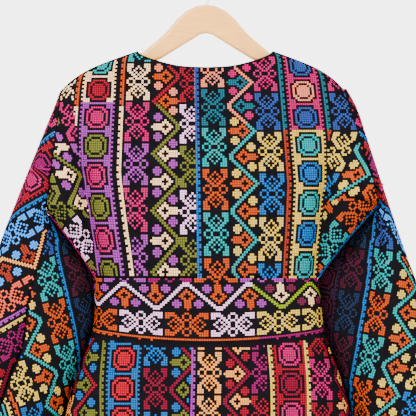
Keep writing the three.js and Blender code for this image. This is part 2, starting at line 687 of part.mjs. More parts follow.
Object.entries(SIDES).forEach(([name, corner]) => {
  const rows = sleeveRows(corner);
  const seam = (face) => (row) => {
    if (row.up === 0) return fromTable(SLEEVES[name], 'z', face, row.z);
    return armholeRound(corner, row, fromTable(SLEEVES[name], 'z', 'depth', row.z));
  };
  const backSeam = seam('back');
  const frontSeam = seam('front');
  const lowRows = rows.slice(0, SLEEVE_ROWS + 1);
  const upper = sleeveGrid(name, rows, UPPER_COLUMNS, (row) => -backSeam(row), frontSeam);
  const under = sleeveGrid(name, lowRows, UNDER_COLUMNS, frontSeam, (row) => 2 - backSeam(row));
  const upperNormals = gridNormals(upper, corner.sign);
  const underNormals = gridNormals(under, corner.sign);
  lowRows.forEach((_, j) => {
    shareNormals([upperNormals[0][j]], [underNormals[UNDER_COLUMNS][j]]);
    shareNormals([upperNormals[UPPER_COLUMNS][j]], [underNormals[0][j]]);
  });

  // The armhole, where each row of the bodice meets a row of the sleeve.
  const backEdge = backNormals[name][backGrids[name].length - 1];
  const frontEdge = frontNormals[name === 'left' ? 0 : frontGrid.length - 1];
  for (let k = 1; k < ARMHOLE_ROWS; k += 1) {
    shareNormals([backEdge[SIDE_ROWS + k]], [upperNormals[0][SLEEVE_ROWS + k]]);
    shareNormals([frontEdge[SIDE_ROWS + k]], [upperNormals[UPPER_COLUMNS][SLEEVE_ROWS + k]]);
  }

  ['first', 'last', 'top'].forEach((border) => {
    drawBack(upper, border);
    drawBack(under, border);
  });
  addPiece(`sleeve_upper_${name}`, clothWall(upper, upperNormals, corner.sign), MATERIALS.sleeve);
  addPiece(`sleeve_under_${name}`, clothWall(under, underNormals, corner.sign), MATERIALS.underSleeve);
});

Object.entries(SIDES).forEach(([name, corner]) => {
  ['first', 'last', 'bottom', 'top'].forEach((border) => drawBack(backGrids[name], border));
  addPiece(`back_${name}`, clothWall(backGrids[name], backNormals[name], corner.sign), MATERIALS.bodice);
});
['first', 'last', 'bottom', 'top'].forEach((border) => drawBack(frontGrid, border));
addPiece('front', clothWall(frontGrid, frontNormals, -1), MATERIALS.bodice);

// ---- assembly: waistband, skirt and hanger ----
const halves = { back: 0, front: 180 };
Object.entries(halves).forEach(([face, start]) => {
  const band = girthGrid(start, BAND_COLUMNS, BAND_ROWS, bandFoot, () => WAIST_Z);
  addPiece(`waistband_${face}`, girthPanel(band, -1), MATERIALS.band);
  const skirt = girthGrid(start, SKIRT_COLUMNS, SKIRT_ROWS, () => HEM_Z, bandFoot);
  addPiece(`skirt_${face}`, girthPanel(skirt, -1), MATERIALS.skirt);
});
addPiece('hanger', await makeHanger(), MATERIALS.wood);
addPiece('hook', makeHook(), MATERIALS.wire);

export default kaftan;
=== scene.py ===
import math

import bpy
import numpy as np
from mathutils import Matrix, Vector


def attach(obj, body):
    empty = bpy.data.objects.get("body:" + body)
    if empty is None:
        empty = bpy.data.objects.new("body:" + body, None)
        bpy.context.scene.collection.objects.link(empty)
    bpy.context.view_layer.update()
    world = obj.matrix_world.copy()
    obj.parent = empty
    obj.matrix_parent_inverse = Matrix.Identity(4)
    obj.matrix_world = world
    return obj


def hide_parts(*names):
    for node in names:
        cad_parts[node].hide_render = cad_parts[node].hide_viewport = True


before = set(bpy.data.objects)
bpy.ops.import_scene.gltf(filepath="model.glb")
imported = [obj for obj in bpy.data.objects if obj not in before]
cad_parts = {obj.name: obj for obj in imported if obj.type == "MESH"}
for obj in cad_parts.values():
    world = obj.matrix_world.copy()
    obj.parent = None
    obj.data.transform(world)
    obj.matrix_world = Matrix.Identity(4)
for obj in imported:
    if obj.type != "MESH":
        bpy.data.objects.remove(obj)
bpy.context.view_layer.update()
MM = 0.001

# ---- objects and nodes ----
def add_object(name, data):
    """A new object in the scene."""
    made = bpy.data.objects.new(name, data)
    bpy.context.scene.collection.objects.link(made)
    return made


def plug(tree, socket, value):
    """Links an input socket to an output, or sets its value."""
    if isinstance(value, Socket):
        value = value.socket
    if isinstance(value, bpy.types.NodeSocket):
        tree.links.new(value, socket)
    else:
        socket.default_value = value


def add_node(tree, kind, settings=None, inputs=None):
    """A new node of a tree: its settings first, then the values or links of its sockets."""
    node = tree.nodes.new(kind)
    for key, value in (settings or {}).items():
        setattr(node, key, value)
    for key, value in (inputs or {}).items():
        plug(tree, node.inputs[key], value)
    return node


class Socket:
    """An output socket of a shader; an operator on it adds a Math node."""

    def __init__(self, shader, socket):
        self.shader = shader
        self.socket = socket

    def math(self, operation, other):
        return self.shader.add("ShaderNodeMath", {"operation": operation}, {0: self, 1: other})

    def __add__(self, other):
        return self.math("ADD", other)

    def __mul__(self, other):
        return self.math("MULTIPLY", other)

    __radd__ = __add__
    __rmul__ = __mul__


class Shader:
    """A material's node tree."""

    def __init__(self, name):
        self.material = bpy.data.materials.new(name)
        self.material.use_nodes = True
        self.tree = self.material.node_tree

    def add(self, kind, settings=None, inputs=None, output=0):
        return Socket(self, add_node(self.tree, kind, settings, inputs).outputs[output])

    def place(self):
        return self.add("ShaderNodeTexCoord", output="Object")

    def noise(self, place, **inputs):
        return self.add("ShaderNodeTexNoise", inputs={"Vector": place, **inputs})

    def blend(self, factor, dark, light):
        """A colour between two swatches, which go to the Mix node's colour sockets 6 and 7."""
        swatches = {"Factor": factor, 6: srgb(*dark), 7: srgb(*light)}
        return self.add("ShaderNodeMix", {"data_type": "RGBA"}, swatches, output=2)

    def bump(self, strength, distance, height):
        relief = {"Strength": strength, "Distance": distance, "Height": height}
        return self.add("ShaderNodeBump", inputs=relief)

    def finish(self, **values):
        """Fills sockets of the surface, an underscore for each space, and gives the material."""
        surface = self.tree.nodes["Principled BSDF"]
        for key, value in values.items():
            plug(self.tree, surface.inputs[key.replace("_", " ")], value)
        return self.material


def srgb(*channels):
    """Colour of a swatch, 0 to 255, as a linear colour with alpha."""
    c = np.array(channels) / 255
    return tuple(np.where(c <= 0.04045, c / 12.92, ((c + 0.055) / 1.055) ** 2.4)) + (1.0,)


# ---- camera and light ----
TARGET = Vector((0.0034, -0.060, -0.4088))  # middle of the view, on the cloth of the back
DISTANCE = 20.0
VIEW_WIDTH = 0.7072  # metres of cloth across the frame

camera_data = bpy.data.cameras.new("camera")
camera_data.sensor_width = 36
camera_data.lens = 36 * DISTANCE / VIEW_WIDTH
camera = add_object("camera", camera_data)
camera.location = TARGET + Vector((0, -DISTANCE, 0))
camera.rotation_euler = (math.radians(90), 0, 0)
bpy.context.scene.camera = camera


def area_light(name, place, size, power, aim):
    light = bpy.data.lights.new(name, "AREA")
    light.shape = "DISK"
    light.size = size
    light.energy = power
    lamp = add_object(name, light)
    lamp.location = place
    lamp.rotation_euler = (Vector(aim) - Vector(place)).to_track_quat("-Z", "Y").to_euler()


area_light("key_light", (-1.5, -2.6, 1.1), 1.6, 210, (0, 0, -0.45))
area_light("fill_light", (1.9, -2.3, 0.1), 2.2, 50, (0, 0, -0.5))
area_light("back_light", (0.4, 2.6, 0.9), 2.0, 60, (0, 0, -0.6))

world = bpy.data.worlds.new("studio")
world.use_nodes = True
sky = world.node_tree
horizon = add_node(sky, "ShaderNodeTexCoord")
height = add_node(sky, "ShaderNodeSeparateXYZ", None, {"Vector": horizon.outputs["Generated"]})
brightness = add_node(sky, "ShaderNodeMapRange", None, {  # darker from below, white from the side
    "Value": height.outputs["Z"], "From Min": -0.7, "From Max": -0.06, "To Min": 0.12, "To Max": 1.0,
})
for key, value in (("Color", brightness.outputs["Result"]), ("Strength", 5.0)):
    plug(sky, sky.nodes["Background"].inputs[key], value)
bpy.context.scene.world = world


# ---- materials and floor ----
def cloth_material():
    """Black cotton with the fine square weave that cross stitch is counted on."""
    shader = Shader("black_cotton")
    place = shader.place()
    squares = {"Vector": place, "Scale": 1000 / 1.3}  # one every 1.3 mm
    weave = shader.add("ShaderNodeTexChecker", inputs=squares, output=1)
    cloud = shader.noise(place, Scale=60.0, Detail=3.0)
    return shader.finish(
        Base_Color=shader.blend(cloud, (6, 5, 7), (12, 11, 13)), Roughness=0.95,
        Specular_IOR_Level=0.0, Normal=shader.bump(0.35, 0.0004, weave),
    )


def thread_material():
    """Matt embroidery cotton; each stitch carries its own colour."""
    shader = Shader("embroidery_thread")
    colour = shader.add("ShaderNodeAttribute", {"attribute_name": "thread"})
    return shader.finish(Base_Color=colour, Roughness=0.8, Specular_IOR_Level=0.06)


def wood_material():
    """Pale varnished wood, its grain along the arms."""
    shader = Shader("pale_wood")
    stretch = {"Vector": shader.place(), "Scale": (4.0, 30.0, 42.0)}
    grain = shader.noise(shader.add("ShaderNodeMapping", inputs=stretch), Scale=6.0, Detail=6.0)
    return shader.finish(
        Base_Color=shader.blend(grain, (153, 102, 37), (216, 147, 34)), Roughness=0.42,
        Coat_Weight=0.25, Coat_Roughness=0.3, Normal=shader.bump(0.15, 0.0003, grain),
    )


def steel_material():
    """Zinc-plated wire, a little cloudy."""
    shader = Shader("hook_steel")
    cloud = shader.noise(shader.place(), Scale=900.0)
    return shader.finish(Base_Color=srgb(176, 176, 174), Metallic=1.0, Roughness=cloud * 0.2 + 0.25)


def floor_material():
    shader = Shader("studio_floor")
    cloud = shader.noise(shader.place(), Scale=3.0)
    return shader.finish(Base_Color=srgb(238, 237, 235), Roughness=cloud * 0.1 + 0.6)


COTTON = cloth_material()
THREAD = thread_material()

FLOOR_Z = -1.545
floor_corners = [(x, y, FLOOR_Z) for x, y in ((-3, -3), (3, -3), (3, 2.6), (-3, 2.6))]
floor_mesh = bpy.data.meshes.new("floor")
floor_mesh.from_pydata(floor_corners, [], [(0, 1, 2, 3)])
floor_mesh.materials.append(floor_material())
floor = add_object("floor", floor_mesh)

# ---- the cut of the garment, in millimetres ----
def table(columns, *rows):
    """Rows of numbers by the names of their columns; the first column rises."""
    return dict(zip(columns.split(), np.array(rows, float).T))


CLOTH = 2.0
SEAM_GAP = 0.04
NECK_Z = -141
WAIST_Z = -528
BAND_HEIGHT = 110
BAND_RISE = 16
HEM_Z = -1520
RIDGE_RADIUS = 22
SIDE_POWER = 3
SLEEVE_POWER = 0.8
CAP_TIP = 0.996
SIDE_CURVE = 1.15
ARMHOLE_DEPTH = 46
FOLD_RISE = 0.55
FOLD_LIMIT = 0.5
SKEW_SOFTNESS = 1.1
BAND_SHIFT = 4
FOLD_SHARE = 0.45
FOLD_NARROWING = 0.35
CUFF_Z = -850

# How far the soft inner edges of the sleeves lie in behind the body, and towards the front.
TUCKS = {
    "left": table("z inward forward", (-850, 11, 32), (-762, 9.5, 32), (-700, 8.3, 32), (-641, 8.5, 30),
                  (-600, 12.6, 12), (-560, 11, 5), (-540, 9.2, 4), (-528, 8.8, 3), (-490, 7, 2),
                  (-450, 6.5, 6), (-430, 5.5, 14), (-422, 2.2, 8), (-416, 0, 0)),
    "right": table("z inward forward", (-850, 7.2, 32), (-762, 10, 34), (-741, 7.2, 31), (-722, 4.9, 27),
                   (-700, 3.4, 18), (-641, 3.5, 0), (-600, 5, 0), (-540, 5.2, 0), (-528, 5.2, 0),
                   (-490, 2.5, 0), (-450, 3, 0), (-435, 5, 1), (-420, 7, 3), (-409, 6, 3), (-402, 0, 0)),
}
CENTRES = {"back": (-20, -15), "front": (0, 0)}  # x of the centre at the neck and at the waist

SIDES = {
    "left": {"sign": -1, "neck_x": 117, "shoulder": (246, -207), "underarm": (272, -416), "waist_x": 190},
    "right": {"sign": 1, "neck_x": 114, "shoulder": (234, -205), "underarm": (298, -402), "waist_x": 194},
}


SHOULDER_LINE = table("along drop", (0, 0), (0.36, 0.25), (0.62, 0.46), (0.84, 0.72), (1, 1))
NECKLINES = {
    "back": table("along below", (0, 28), (0.4, 25), (0.75, 15), (0.93, 7), (0.985, 3), (1, 0)),
    "front": table("along below", (0, 96), (0.35, 90), (0.7, 58), (0.9, 24), (0.985, 4.5), (1, 0)),
}
BODY_DEPTH = table(
    "below back front", (0, 30, 20), (100, 50, 42), (200, 64, 60), (300, 66, 62), (387, 58, 56))

# Troughs of the bodice: x and z of both ends, depth, half width.
BODY_FOLDS = {
    "back": [(-226, -235, -184, -528, 24, 15), (212, -260, 190, -528, 24, 15),
             (-70, -430, -62, -528, 5, 20), (84, -420, 74, -528, 5, 22)],
    "front": [(-214, -250, -178, -528, 20, 17), (222, -240, 182, -528, 22, 16),
              (-90, -300, -60, -528, 8, 26), (80, -330, 66, -528, 7, 24)],
}
SLEEVE_COLUMNS = "z out edge skew depth back front"
SLEEVES = {
    "left": table(
        SLEEVE_COLUMNS,
        (-850, 478, 274, 0, 66, 0.47, 0.62), (-762, 452, 247, 0, 62, 0.48, 0.63),
        (-700, 434, 228, 0, 60, 0.49, 0.64), (-641, 413, 209, 7, 58, 0.5, 0.66),
        (-600, 399, 220, 32, 56, 0.51, 0.68), (-560, 384, 232, 51, 55, 0.53, 0.7),
        (-528, 372, 242, 64, 54, 0.57, 0.74), (-490, 358, 253, 50, 52, 0.64, 0.79),
        (-450, 344, 264, 24, 50, 0.77, 0.87), (-416, 330, 272, 0, 47, 0.95, 0.95),
        (-375, 314, 267, 0, 46, 1, 1), (-293, 281, 257, 0, 46, 1, 1),
        (-239, 259, 250, 0, 46, 1, 1), (-207, 247, 246, 0, 46, 1, 1),
    ),
    "right": table(
        SLEEVE_COLUMNS,
        (-850, 470, 278, 0, 66, 0.06, 0.62), (-762, 440, 256, 0, 62, 0.06, 0.63),
        (-720, 425, 246, 14, 60, 0.06, 0.64), (-680, 411, 251, 42, 59, 0.06, 0.65),
        (-641, 396, 258, 70, 58, 0.06, 0.66), (-600, 382, 267, 90, 56, 0.06, 0.68),
        (-560, 367, 276, 104, 55, 0.06, 0.7), (-528, 356, 282, 110, 54, 0.09, 0.74),
        (-490, 342, 289, 88, 52, 0.2, 0.79), (-440, 324, 297, 42, 50, 0.55, 0.87),
        (-402, 311, 298, 0, 47, 0.95, 0.95), (-336, 289, 278, 0, 46, 1, 1),
        (-271, 268, 257, 0, 46, 1, 1), (-239, 257, 246, 0, 46, 1, 1), (-205, 239, 234, 0, 46, 1, 1),
    ),
}

# Troughs along the sleeves: place round the tube, heights of start and full depth, depth, half width.
SLEEVE_FOLDS = {
    "left": [(-0.5, -480, -650, 15, 0.075), (-0.22, -480, -760, 13, 0.07),
             (0.3, -300, -640, 16, 0.08), (0.6, -420, -760, 14, 0.08)],
    "right": [(-0.42, -560, -800, 12, 0.08), (-0.7, -600, -800, 9, 0.06),
              (0.25, -300, -640, 16, 0.08), (0.55, -400, -760, 15, 0.08)],
}
GIRTH = table(
    "z width back front fold",
    (-1520, 398, 150, 140, 1), (-1300, 361, 134, 126, 0.8), (-1100, 325, 118, 112, 0.62),
    (-900, 281, 98, 95, 0.42), (-762, 243, 80, 78, 0.28), (-700, 225, 72, 70, 0.2),
    (-640, 203, 63, 61, 0.08), (-610, 195, 60, 58, 0), (-528, 190, 58, 56, 0),
)

# Folds of the skirt: degrees round the girth, depth at the hem, half width.
SKIRT_FOLDS = [
    (12, 26, 6), (34, 24, 5), (62, 34, 4.5), (84, 18, 6), (106, 26, 6), (131, 22, 6), (152, 30, 5.5),
    (171, 22, 5), (196, 26, 6), (222, 24, 6), (248, 30, 5.5), (272, 20, 6), (297, 28, 6),
    (322, 24, 5.5), (346, 26, 5.5),
]

# Shallow creases laid over the cut: face, x and z of both ends, depth, half width.
CREASES = [
    ("back", -236, -372, -120, -292, 2.6, 11), ("back", -232, -408, -96, -372, 2.2, 10),
    ("back", 262, -352, 150, -286, 2.8, 12), ("back", 250, -396, 118, -366, 2.4, 11),
    ("back", -150, -486, -20, -468, 1.8, 9), ("back", 168, -474, 36, -492, 1.9, 10),
    ("back", -104, -190, -60, -262, 1.6, 13), ("back", 96, -188, 58, -254, 1.6, 12),
    ("back", -396, -560, -300, -622, 3.0, 12), ("back", -420, -690, -296, -742, 3.2, 14),
    ("back", 330, -520, 412, -604, 3.0, 13), ("back", 300, -650, 412, -700, 3.2, 14),
    ("front", -230, -380, -110, -300, 2.8, 12), ("front", 240, -372, 116, -306, 2.6, 12),
    ("front", -150, -470, -30, -486, 2.0, 10), ("front", 150, -480, 30, -462, 2.0, 10),
    ("front", -400, -540, -300, -600, 3.2, 13), ("front", 390, -548, 300, -612, 3.2, 13),
    ("front", -430, -700, -310, -740, 3.0, 14), ("front", 420, -690, 300, -742, 3.0, 14),
]


# ---- curves through the tables ----
def curve(rows, column, at):
    """Smooth value of one column of a table, at values of its first column."""
    x, y = next(iter(rows.values())), rows[column]
    at = np.asarray(at, float)
    here = np.searchsorted(x[1:-1], at, side="left")
    before, after = np.maximum(here - 1, 0), np.minimum(here + 2, len(x) - 1)
    span = x[here + 1] - x[here]
    t = np.clip((at - x[here]) / span, 0, 1)
    slope_in = span * (y[here + 1] - y[before]) / (x[here + 1] - x[before])
    slope_out = span * (y[after] - y[here]) / (x[after] - x[here])
    t2, t3 = t * t, t * t * t
    return (y[here] * (2 * t3 - 3 * t2 + 1) + slope_in * (t3 - 2 * t2 + t)
            + y[here + 1] * (3 * t2 - 2 * t3) + slope_out * (t3 - t2))


def lerp(a, b, t):
    return a + (b - a) * t


def ramp(start, end, value):
    t = np.clip((value - start) / (end - start), 0, 1)
    return t * t * (3 - 2 * t)


def soft_min(a, b):
    return (np.maximum(a, 1e-6) ** -4 + np.maximum(b, 1e-6) ** -4) ** -0.25


def bell(distance, width):
    return np.exp(-((distance / width) ** 2))


def add_creases(points):
    """Presses the shallow creases into the cloth they cross."""
    for face, x0, z0, x1, z1, depth, width in CREASES:
        length = math.hypot(x1 - x0, z1 - z0)
        dx, dz = (x1 - x0) / length, (z1 - z0) / length
        rx, rz = points[..., 0] - x0, points[..., 2] - z0
        along = np.clip((rx * dx + rz * dz) / length, 0, 1)
        off = rx * dz - rz * dx
        outward = -1 if face == "back" else 1
        on_face = np.clip(points[..., 1] * outward / 20, 0, 1)
        points[..., 1] -= outward * depth * bell(off, width) * 4 * along * (1 - along) * on_face
    return points


# ---- bodice ----
SIDE_ROWS = 18  # rows of cells from the waist to the underarm
NECK_COLUMNS = 26  # columns of cells from the centre to the neck point


def armhole_bow(corner, up):
    drop = (corner["shoulder"][1] - corner["underarm"][1]) * (1 - up)
    bow = ARMHOLE_DEPTH * np.maximum(1 - np.abs(2 * up - 1) ** 3, 0) ** (1 / 3)
    return soft_min(np.sqrt(2 * RIDGE_RADIUS * drop), bow)


def bodice_rows(corner, low, high):
    """Shares of the height from waist to shoulder, with one row at the underarm."""
    share = (corner["underarm"][1] - WAIST_Z) / (corner["shoulder"][1] - WAIST_Z)
    rising = (1 - np.cos(math.pi * np.arange(1, high + 1) / high)) / 2
    return np.concatenate([np.linspace(0, share, low + 1), share + (1 - share) * rising])


def bodice_grid(name, face, low=SIDE_ROWS, high=44, neck=NECK_COLUMNS, shoulder=34):
    """Points of half a bodice face: [column from the centre][row from the waist]."""
    corner = SIDES[name]
    mirror, outward = corner["sign"], -1 if face == "back" else 1
    (shoulder_x, shoulder_z), (under_x, under_z) = corner["shoulder"], corner["underarm"]
    top_x, waist_x = CENTRES[face][0] * mirror, CENTRES[face][1] * mirror
    neck_share = (corner["neck_x"] - top_x) / (shoulder_x - top_x)
    columns = np.concatenate([
        neck_share * np.arange(neck) / neck,
        neck_share + (1 - neck_share) * np.sin(math.pi / 2 * np.arange(shoulder + 1) / shoulder),
    ])
    s, t = np.meshgrid(columns, bodice_rows(corner, low, high), indexing="ij")
    share = (under_z - WAIST_Z) / (shoulder_z - WAIST_Z)
    up = np.clip((t - share) / (1 - share), 0, 1)
    above = np.clip(t / share, 0, 1)
    below_x = lerp(corner["waist_x"], under_x, above ** SIDE_CURVE)
    side_x = np.where(up > 0, lerp(under_x, shoulder_x, up), below_x)
    side_z = np.where(up > 0, lerp(under_z, shoulder_z, up), lerp(WAIST_Z, under_z, above))
    centre_top = NECK_Z - NECKLINES[face]["below"][0]
    border_x = lerp(top_x, shoulder_x, s)
    neck_z = NECK_Z - curve(NECKLINES[face], "below", np.abs(border_x) / corner["neck_x"])
    along = (border_x - corner["neck_x"]) / (shoulder_x - corner["neck_x"])
    seam_z = lerp(NECK_Z, shoulder_z, curve(SHOULDER_LINE, "drop", along))
    top_z = np.where(s < neck_share, neck_z, seam_z)
    ridge_z = np.where(s < neck_share, NECK_Z, seam_z)
    x = lerp(lerp(waist_x, top_x, t), side_x, s)
    z = (lerp(lerp(WAIST_Z, centre_top, t), side_z, s) + lerp(WAIST_Z, top_z, t)
         - lerp(WAIST_Z, lerp(centre_top, shoulder_z, s), t))
    bow = armhole_bow(corner, up)
    swell = (1 - s ** SIDE_POWER) ** (1 / SIDE_POWER)
    full = bow + (curve(BODY_DEPTH, face, NECK_Z - z) - bow) * swell
    ridge = np.sqrt(2 * RIDGE_RADIUS * np.maximum(ridge_z - z, 0))
    depth = np.where(s < 1, soft_min(ridge, full), bow)
    for fold_x, fold_z, low_x, low_z, fold_depth, width in BODY_FOLDS[face]:
        down = (fold_z - z) / (fold_z - low_z)
        axis_x = lerp(fold_x, low_x, np.clip(down, 0, 1))
        shape = bell(x * mirror - axis_x, width) * ramp(0, FOLD_RISE, down) * (1 - ramp(0.96, 1, s))
        depth = depth - np.minimum(fold_depth, depth * FOLD_LIMIT) * shape
    return add_creases(np.stack([x * mirror, outward * depth, z], axis=-1))


# ---- sleeves ----
def armhole_round(corner, up, depth):
    bow = np.minimum(armhole_bow(corner, up) / depth, 1)
    return np.where(up >= 0.5, 0.5, 1 - np.arcsin(bow ** (1 / SLEEVE_POWER)) / math.pi)


def sleeve_point(name, around, z, up):
    """Point of a sleeve: `around` from -1 (inner edge) over -0.5 (back) and 0 (outer line) to 1."""
    corner = SIDES[name]
    rows = SLEEVES[name]
    bow = armhole_bow(corner, up)
    depth = np.where(up >= 0.5, bow, curve(rows, "depth", z))
    end = np.where(up > 0, armhole_round(corner, up, depth), 1)
    turn = np.sin(math.pi * around)
    out = curve(rows, "out", z)
    seam_x = lerp(corner["underarm"][0], corner["shoulder"][0], up)
    edge = np.where(up > 0, seam_x, curve(rows, "edge", z))
    half = (out - edge) / (1 - np.cos(math.pi * end))
    y = np.sign(turn) * np.abs(turn) ** SLEEVE_POWER * depth
    for place, start, deepest, fold_depth, width in SLEEVE_FOLDS[name]:
        y = y - np.sign(place) * fold_depth * bell(around - place, width) * ramp(-start, -deepest, -z)
    inner = (1 - np.cos(math.pi * around)) / 2
    inward = curve(rows, "skew", z) * inner ** 2 * np.clip(0.5 + turn / SKEW_SOFTNESS, 0, 1)
    tuck = np.where(z < corner["underarm"][1], inner ** 4, 0)
    inward = inward + tuck * curve(TUCKS[name], "inward", z)
    y = y + tuck * curve(TUCKS[name], "forward", z)
    return np.stack([(out - half * 2 * inner - inward) * corner["sign"], y, z], axis=-1)


def sleeve_grid(name, piece, columns, low=84, high=44):
    """Points of an upper or under sleeve: [column round the tube][row from the cuff]."""
    corner = SIDES[name]
    shoulder_z, under_z = corner["shoulder"][1], corner["underarm"][1]
    rising = np.unique(np.minimum((1 - np.cos(math.pi * np.arange(1, high + 1) / high)) / 2, CAP_TIP))
    z = np.linspace(CUFF_Z, under_z, low + 1)
    up = np.zeros(low + 1)
    if piece == "upper":
        z = np.concatenate([z, lerp(under_z, shoulder_z, rising)])
        up = np.concatenate([up, rising])
    rows = SLEEVES[name]

    def seam(face):
        on_armhole = armhole_round(corner, up, curve(rows, "depth", z))
        return np.where(up > 0, on_armhole, curve(rows, face, z))

    start, end = (-seam("back"), seam("front")) if piece == "upper" else (seam("front"), 2 - seam("back"))
    share = np.linspace(0, 1, columns + 1)[:, None]
    around = lerp(start[None, :], end[None, :], share)
    across_z = np.broadcast_to(z, around.shape)
    return add_creases(sleeve_point(name, around, across_z, np.broadcast_to(up, around.shape)))


# ---- waistband and skirt ----
def band_foot(x):
    return WAIST_Z - BAND_HEIGHT + BAND_RISE * (x / SIDES["left"]["waist_x"]) ** 2


def girth_point(angle, z):
    """Point of the girth: angle 0 at +X, 90 at the back, 180 at -X."""
    turn = np.radians(angle)
    wave = sum(depth * bell(angle - at, width) for at, depth, width in SKIRT_FOLDS)
    power = 2 / SIDE_POWER
    back = curve(GIRTH, "back", z)
    share = 1 - FOLD_SHARE * curve(GIRTH, "fold", z) * wave / back
    cosine, sine = np.cos(turn), np.sin(turn)
    side = np.sign(cosine) * np.abs(cosine) ** power
    x = side * curve(GIRTH, "width", z) * (1 - (1 - share) * FOLD_NARROWING)
    depth = np.where(sine >= 0, back, curve(GIRTH, "front", z))
    y = -np.sign(sine) * np.abs(sine) ** power * depth * share
    shift = BAND_SHIFT * ramp(-WAIST_Z, -WAIST_Z + BAND_HEIGHT / 2, -z)
    return np.stack([x + shift, y, z], axis=-1)


def level(z):
    """A border at one height, for girth_grid."""
    return lambda x: np.full_like(x, z)


def girth_grid(start, columns, rows, low_of, top_of):
    """Points of half the girth from the angle `start`: [column round it][row from below]."""
    turn = (start + 180 * np.linspace(0, 1, columns + 1))[:, None]
    angle = np.broadcast_to(turn, (columns + 1, rows + 1))
    across = girth_point(angle[:, 0], np.full(columns + 1, float(WAIST_Z)))[:, 0][:, None]
    share = np.linspace(0, 1, rows + 1)[None, :]
    return girth_point(angle, lerp(low_of(across), top_of(across), share))


# ---- cloth as closed shells ----
def grid_normals(points, side):
    across = np.gradient(points, axis=0)
    along = np.gradient(points, axis=1)
    normals = np.cross(across, along) * side
    return normals / np.maximum(np.linalg.norm(normals, axis=-1, keepdims=True), 1e-9)


def square(normals, axis):
    """Turns a border's normals into the seam's plane, so that the shell ends square on it."""
    normals[..., axis] = 0
    normals /= np.maximum(np.linalg.norm(normals, axis=-1, keepdims=True), 1e-9)


def girth_normals(grid):
    """Level normals of half the girth, squared on the side seams."""
    normals = grid_normals(grid, -1)
    square(normals, 2)
    for seam in (normals[0], normals[-1]):
        square(seam, 1)
    return normals


def square_bodice(normals, centre):
    """Squares a bodice on its waist, side and shoulder seams; `centre` is its middle column."""
    square(normals[:, 0], 2)
    square(normals[-1, :SIDE_ROWS + 1], 1)
    square(normals[centre + NECK_COLUMNS:, -1], 1)
    if centre:
        square(normals[0, :SIDE_ROWS + 1], 1)
        square(normals[:centre + 1 - NECK_COLUMNS, -1], 1)


def draw_back(points):
    """Draws every border half a seam gap back."""
    for line, inner in ((0, 1), (-1, -2)):
        for border, neighbour in ((points[line], points[inner]), (points[:, line], points[:, inner])):
            step = neighbour - border
            border += step * (SEAM_GAP / 2 / np.linalg.norm(step, axis=-1, keepdims=True))


def cloth_shell(name, points, normals, side):
    """A closed wall of cloth as one mesh object; `points` is its outer face."""
    points = points.copy()
    draw_back(points)
    columns, rows = points.shape[:2]
    outer = np.arange(columns * rows).reshape(columns, rows)
    inner = outer + columns * rows
    vertices = np.concatenate([points.reshape(-1, 3), (points - normals * CLOTH).reshape(-1, 3)]) * MM

    def strip(a, b, c, d):
        quads = np.stack([a, b, c, d], axis=-1).reshape(-1, 4)
        return quads if side > 0 else quads[:, ::-1]

    faces = [
        strip(outer[:-1, :-1], outer[1:, :-1], outer[1:, 1:], outer[:-1, 1:]),
        strip(inner[:-1, :-1], inner[:-1, 1:], inner[1:, 1:], inner[1:, :-1]),
    ]
    broad = sum(len(f) for f in faces)
    faces += [
        strip(outer[:-1, 0], inner[:-1, 0], inner[1:, 0], outer[1:, 0]),
        strip(outer[:-1, -1], outer[1:, -1], inner[1:, -1], inner[:-1, -1]),
        strip(outer[0, :-1], outer[0, 1:], inner[0, 1:], inner[0, :-1]),
        strip(outer[-1, :-1], inner[-1, :-1], inner[-1, 1:], outer[-1, 1:]),
    ]
    faces = np.concatenate(faces)
    mesh = bpy.data.meshes.new(name)
    mesh.from_pydata(vertices.tolist(), [], faces.tolist())
    mesh.polygons.foreach_set("use_smooth", np.arange(len(faces)) < broad)
    mesh.materials.append(COTTON)
    return add_object(name, mesh)


def flat_area(points):
    """Area of a grid of cloth in square metres."""
    across = points[1:, :-1] - points[:-1, :-1]
    along = points[:-1, 1:] - points[:-1, :-1]
    far_across = points[1:, 1:] - points[:-1, 1:]
    far_along = points[1:, 1:] - points[1:, :-1]
    near = np.linalg.norm(np.cross(across, along), axis=-1)
    far = np.linalg.norm(np.cross(far_across, far_along), axis=-1)
    return (near + far).sum() / 2 * MM * MM


# ---- threads and charts ----
# The four darkest threads, plum, navy, umber and wine, are painted shade. They darken the under sleeves'
# inner bands, where the recess beside the waist lies in shadow.
THREADS = {
    "teal": (4, 62, 74), "pink": (124, 0, 60), "lilac": (100, 32, 102), "olive": (68, 70, 20),
    "cream": (192, 150, 106), "straw": (156, 128, 44), "orange": (129, 41, 0), "brick": (105, 27, 10),
    "turquoise": (0, 100, 101), "azure": (0, 63, 114), "blue": (22, 44, 94), "sky": (32, 101, 174),
    "red": (100, 0, 18), "crimson": (84, 1, 24), "salmon": (162, 56, 36), "coral": (125, 0, 19),
    "magenta": (92, 0, 55), "white": (178, 134, 166), "maroon": (67, 13, 36), "peach": (176, 108, 46),
    "khaki": (103, 90, 32), "violet": (49, 17, 61), "lime": (90, 106, 1), "plum": (30, 8, 28),
    "navy": (10, 22, 44), "umber": (42, 18, 9), "wine": (44, 4, 20), "blush": (168, 84, 62),
}
THREAD_NAMES = list(THREADS)
THREAD_COLOURS = np.array([srgb(*rgb) for rgb in THREADS.values()])

HORN = """
###.....###
###..#..###
##..#.#..##
##.#...#.##
.##.#.#.##.
..##.#.##..
...##.##...
.##.###.##.
#..#...#..#
""".split()
HORN += HORN[::-1]
OCTAGON = """
..######..
.##....##.
##.####.##
#.######.#
#.######.#
""".split()
OCTAGON += OCTAGON[::-1]
FLOWER = """
...#......
..###.....
.##.#####.
##...#####
.##.#####.
..###.....
...#......
""".split()
DOT = ".##. #### #### .##.".split()
HORN_PERIOD = 19
ZIGZAG_PERIOD = 24
WIDE_ZIGZAG_PERIOD = 26
LADDER_PERIOD = 13
ZIGZAG_REACH = 11


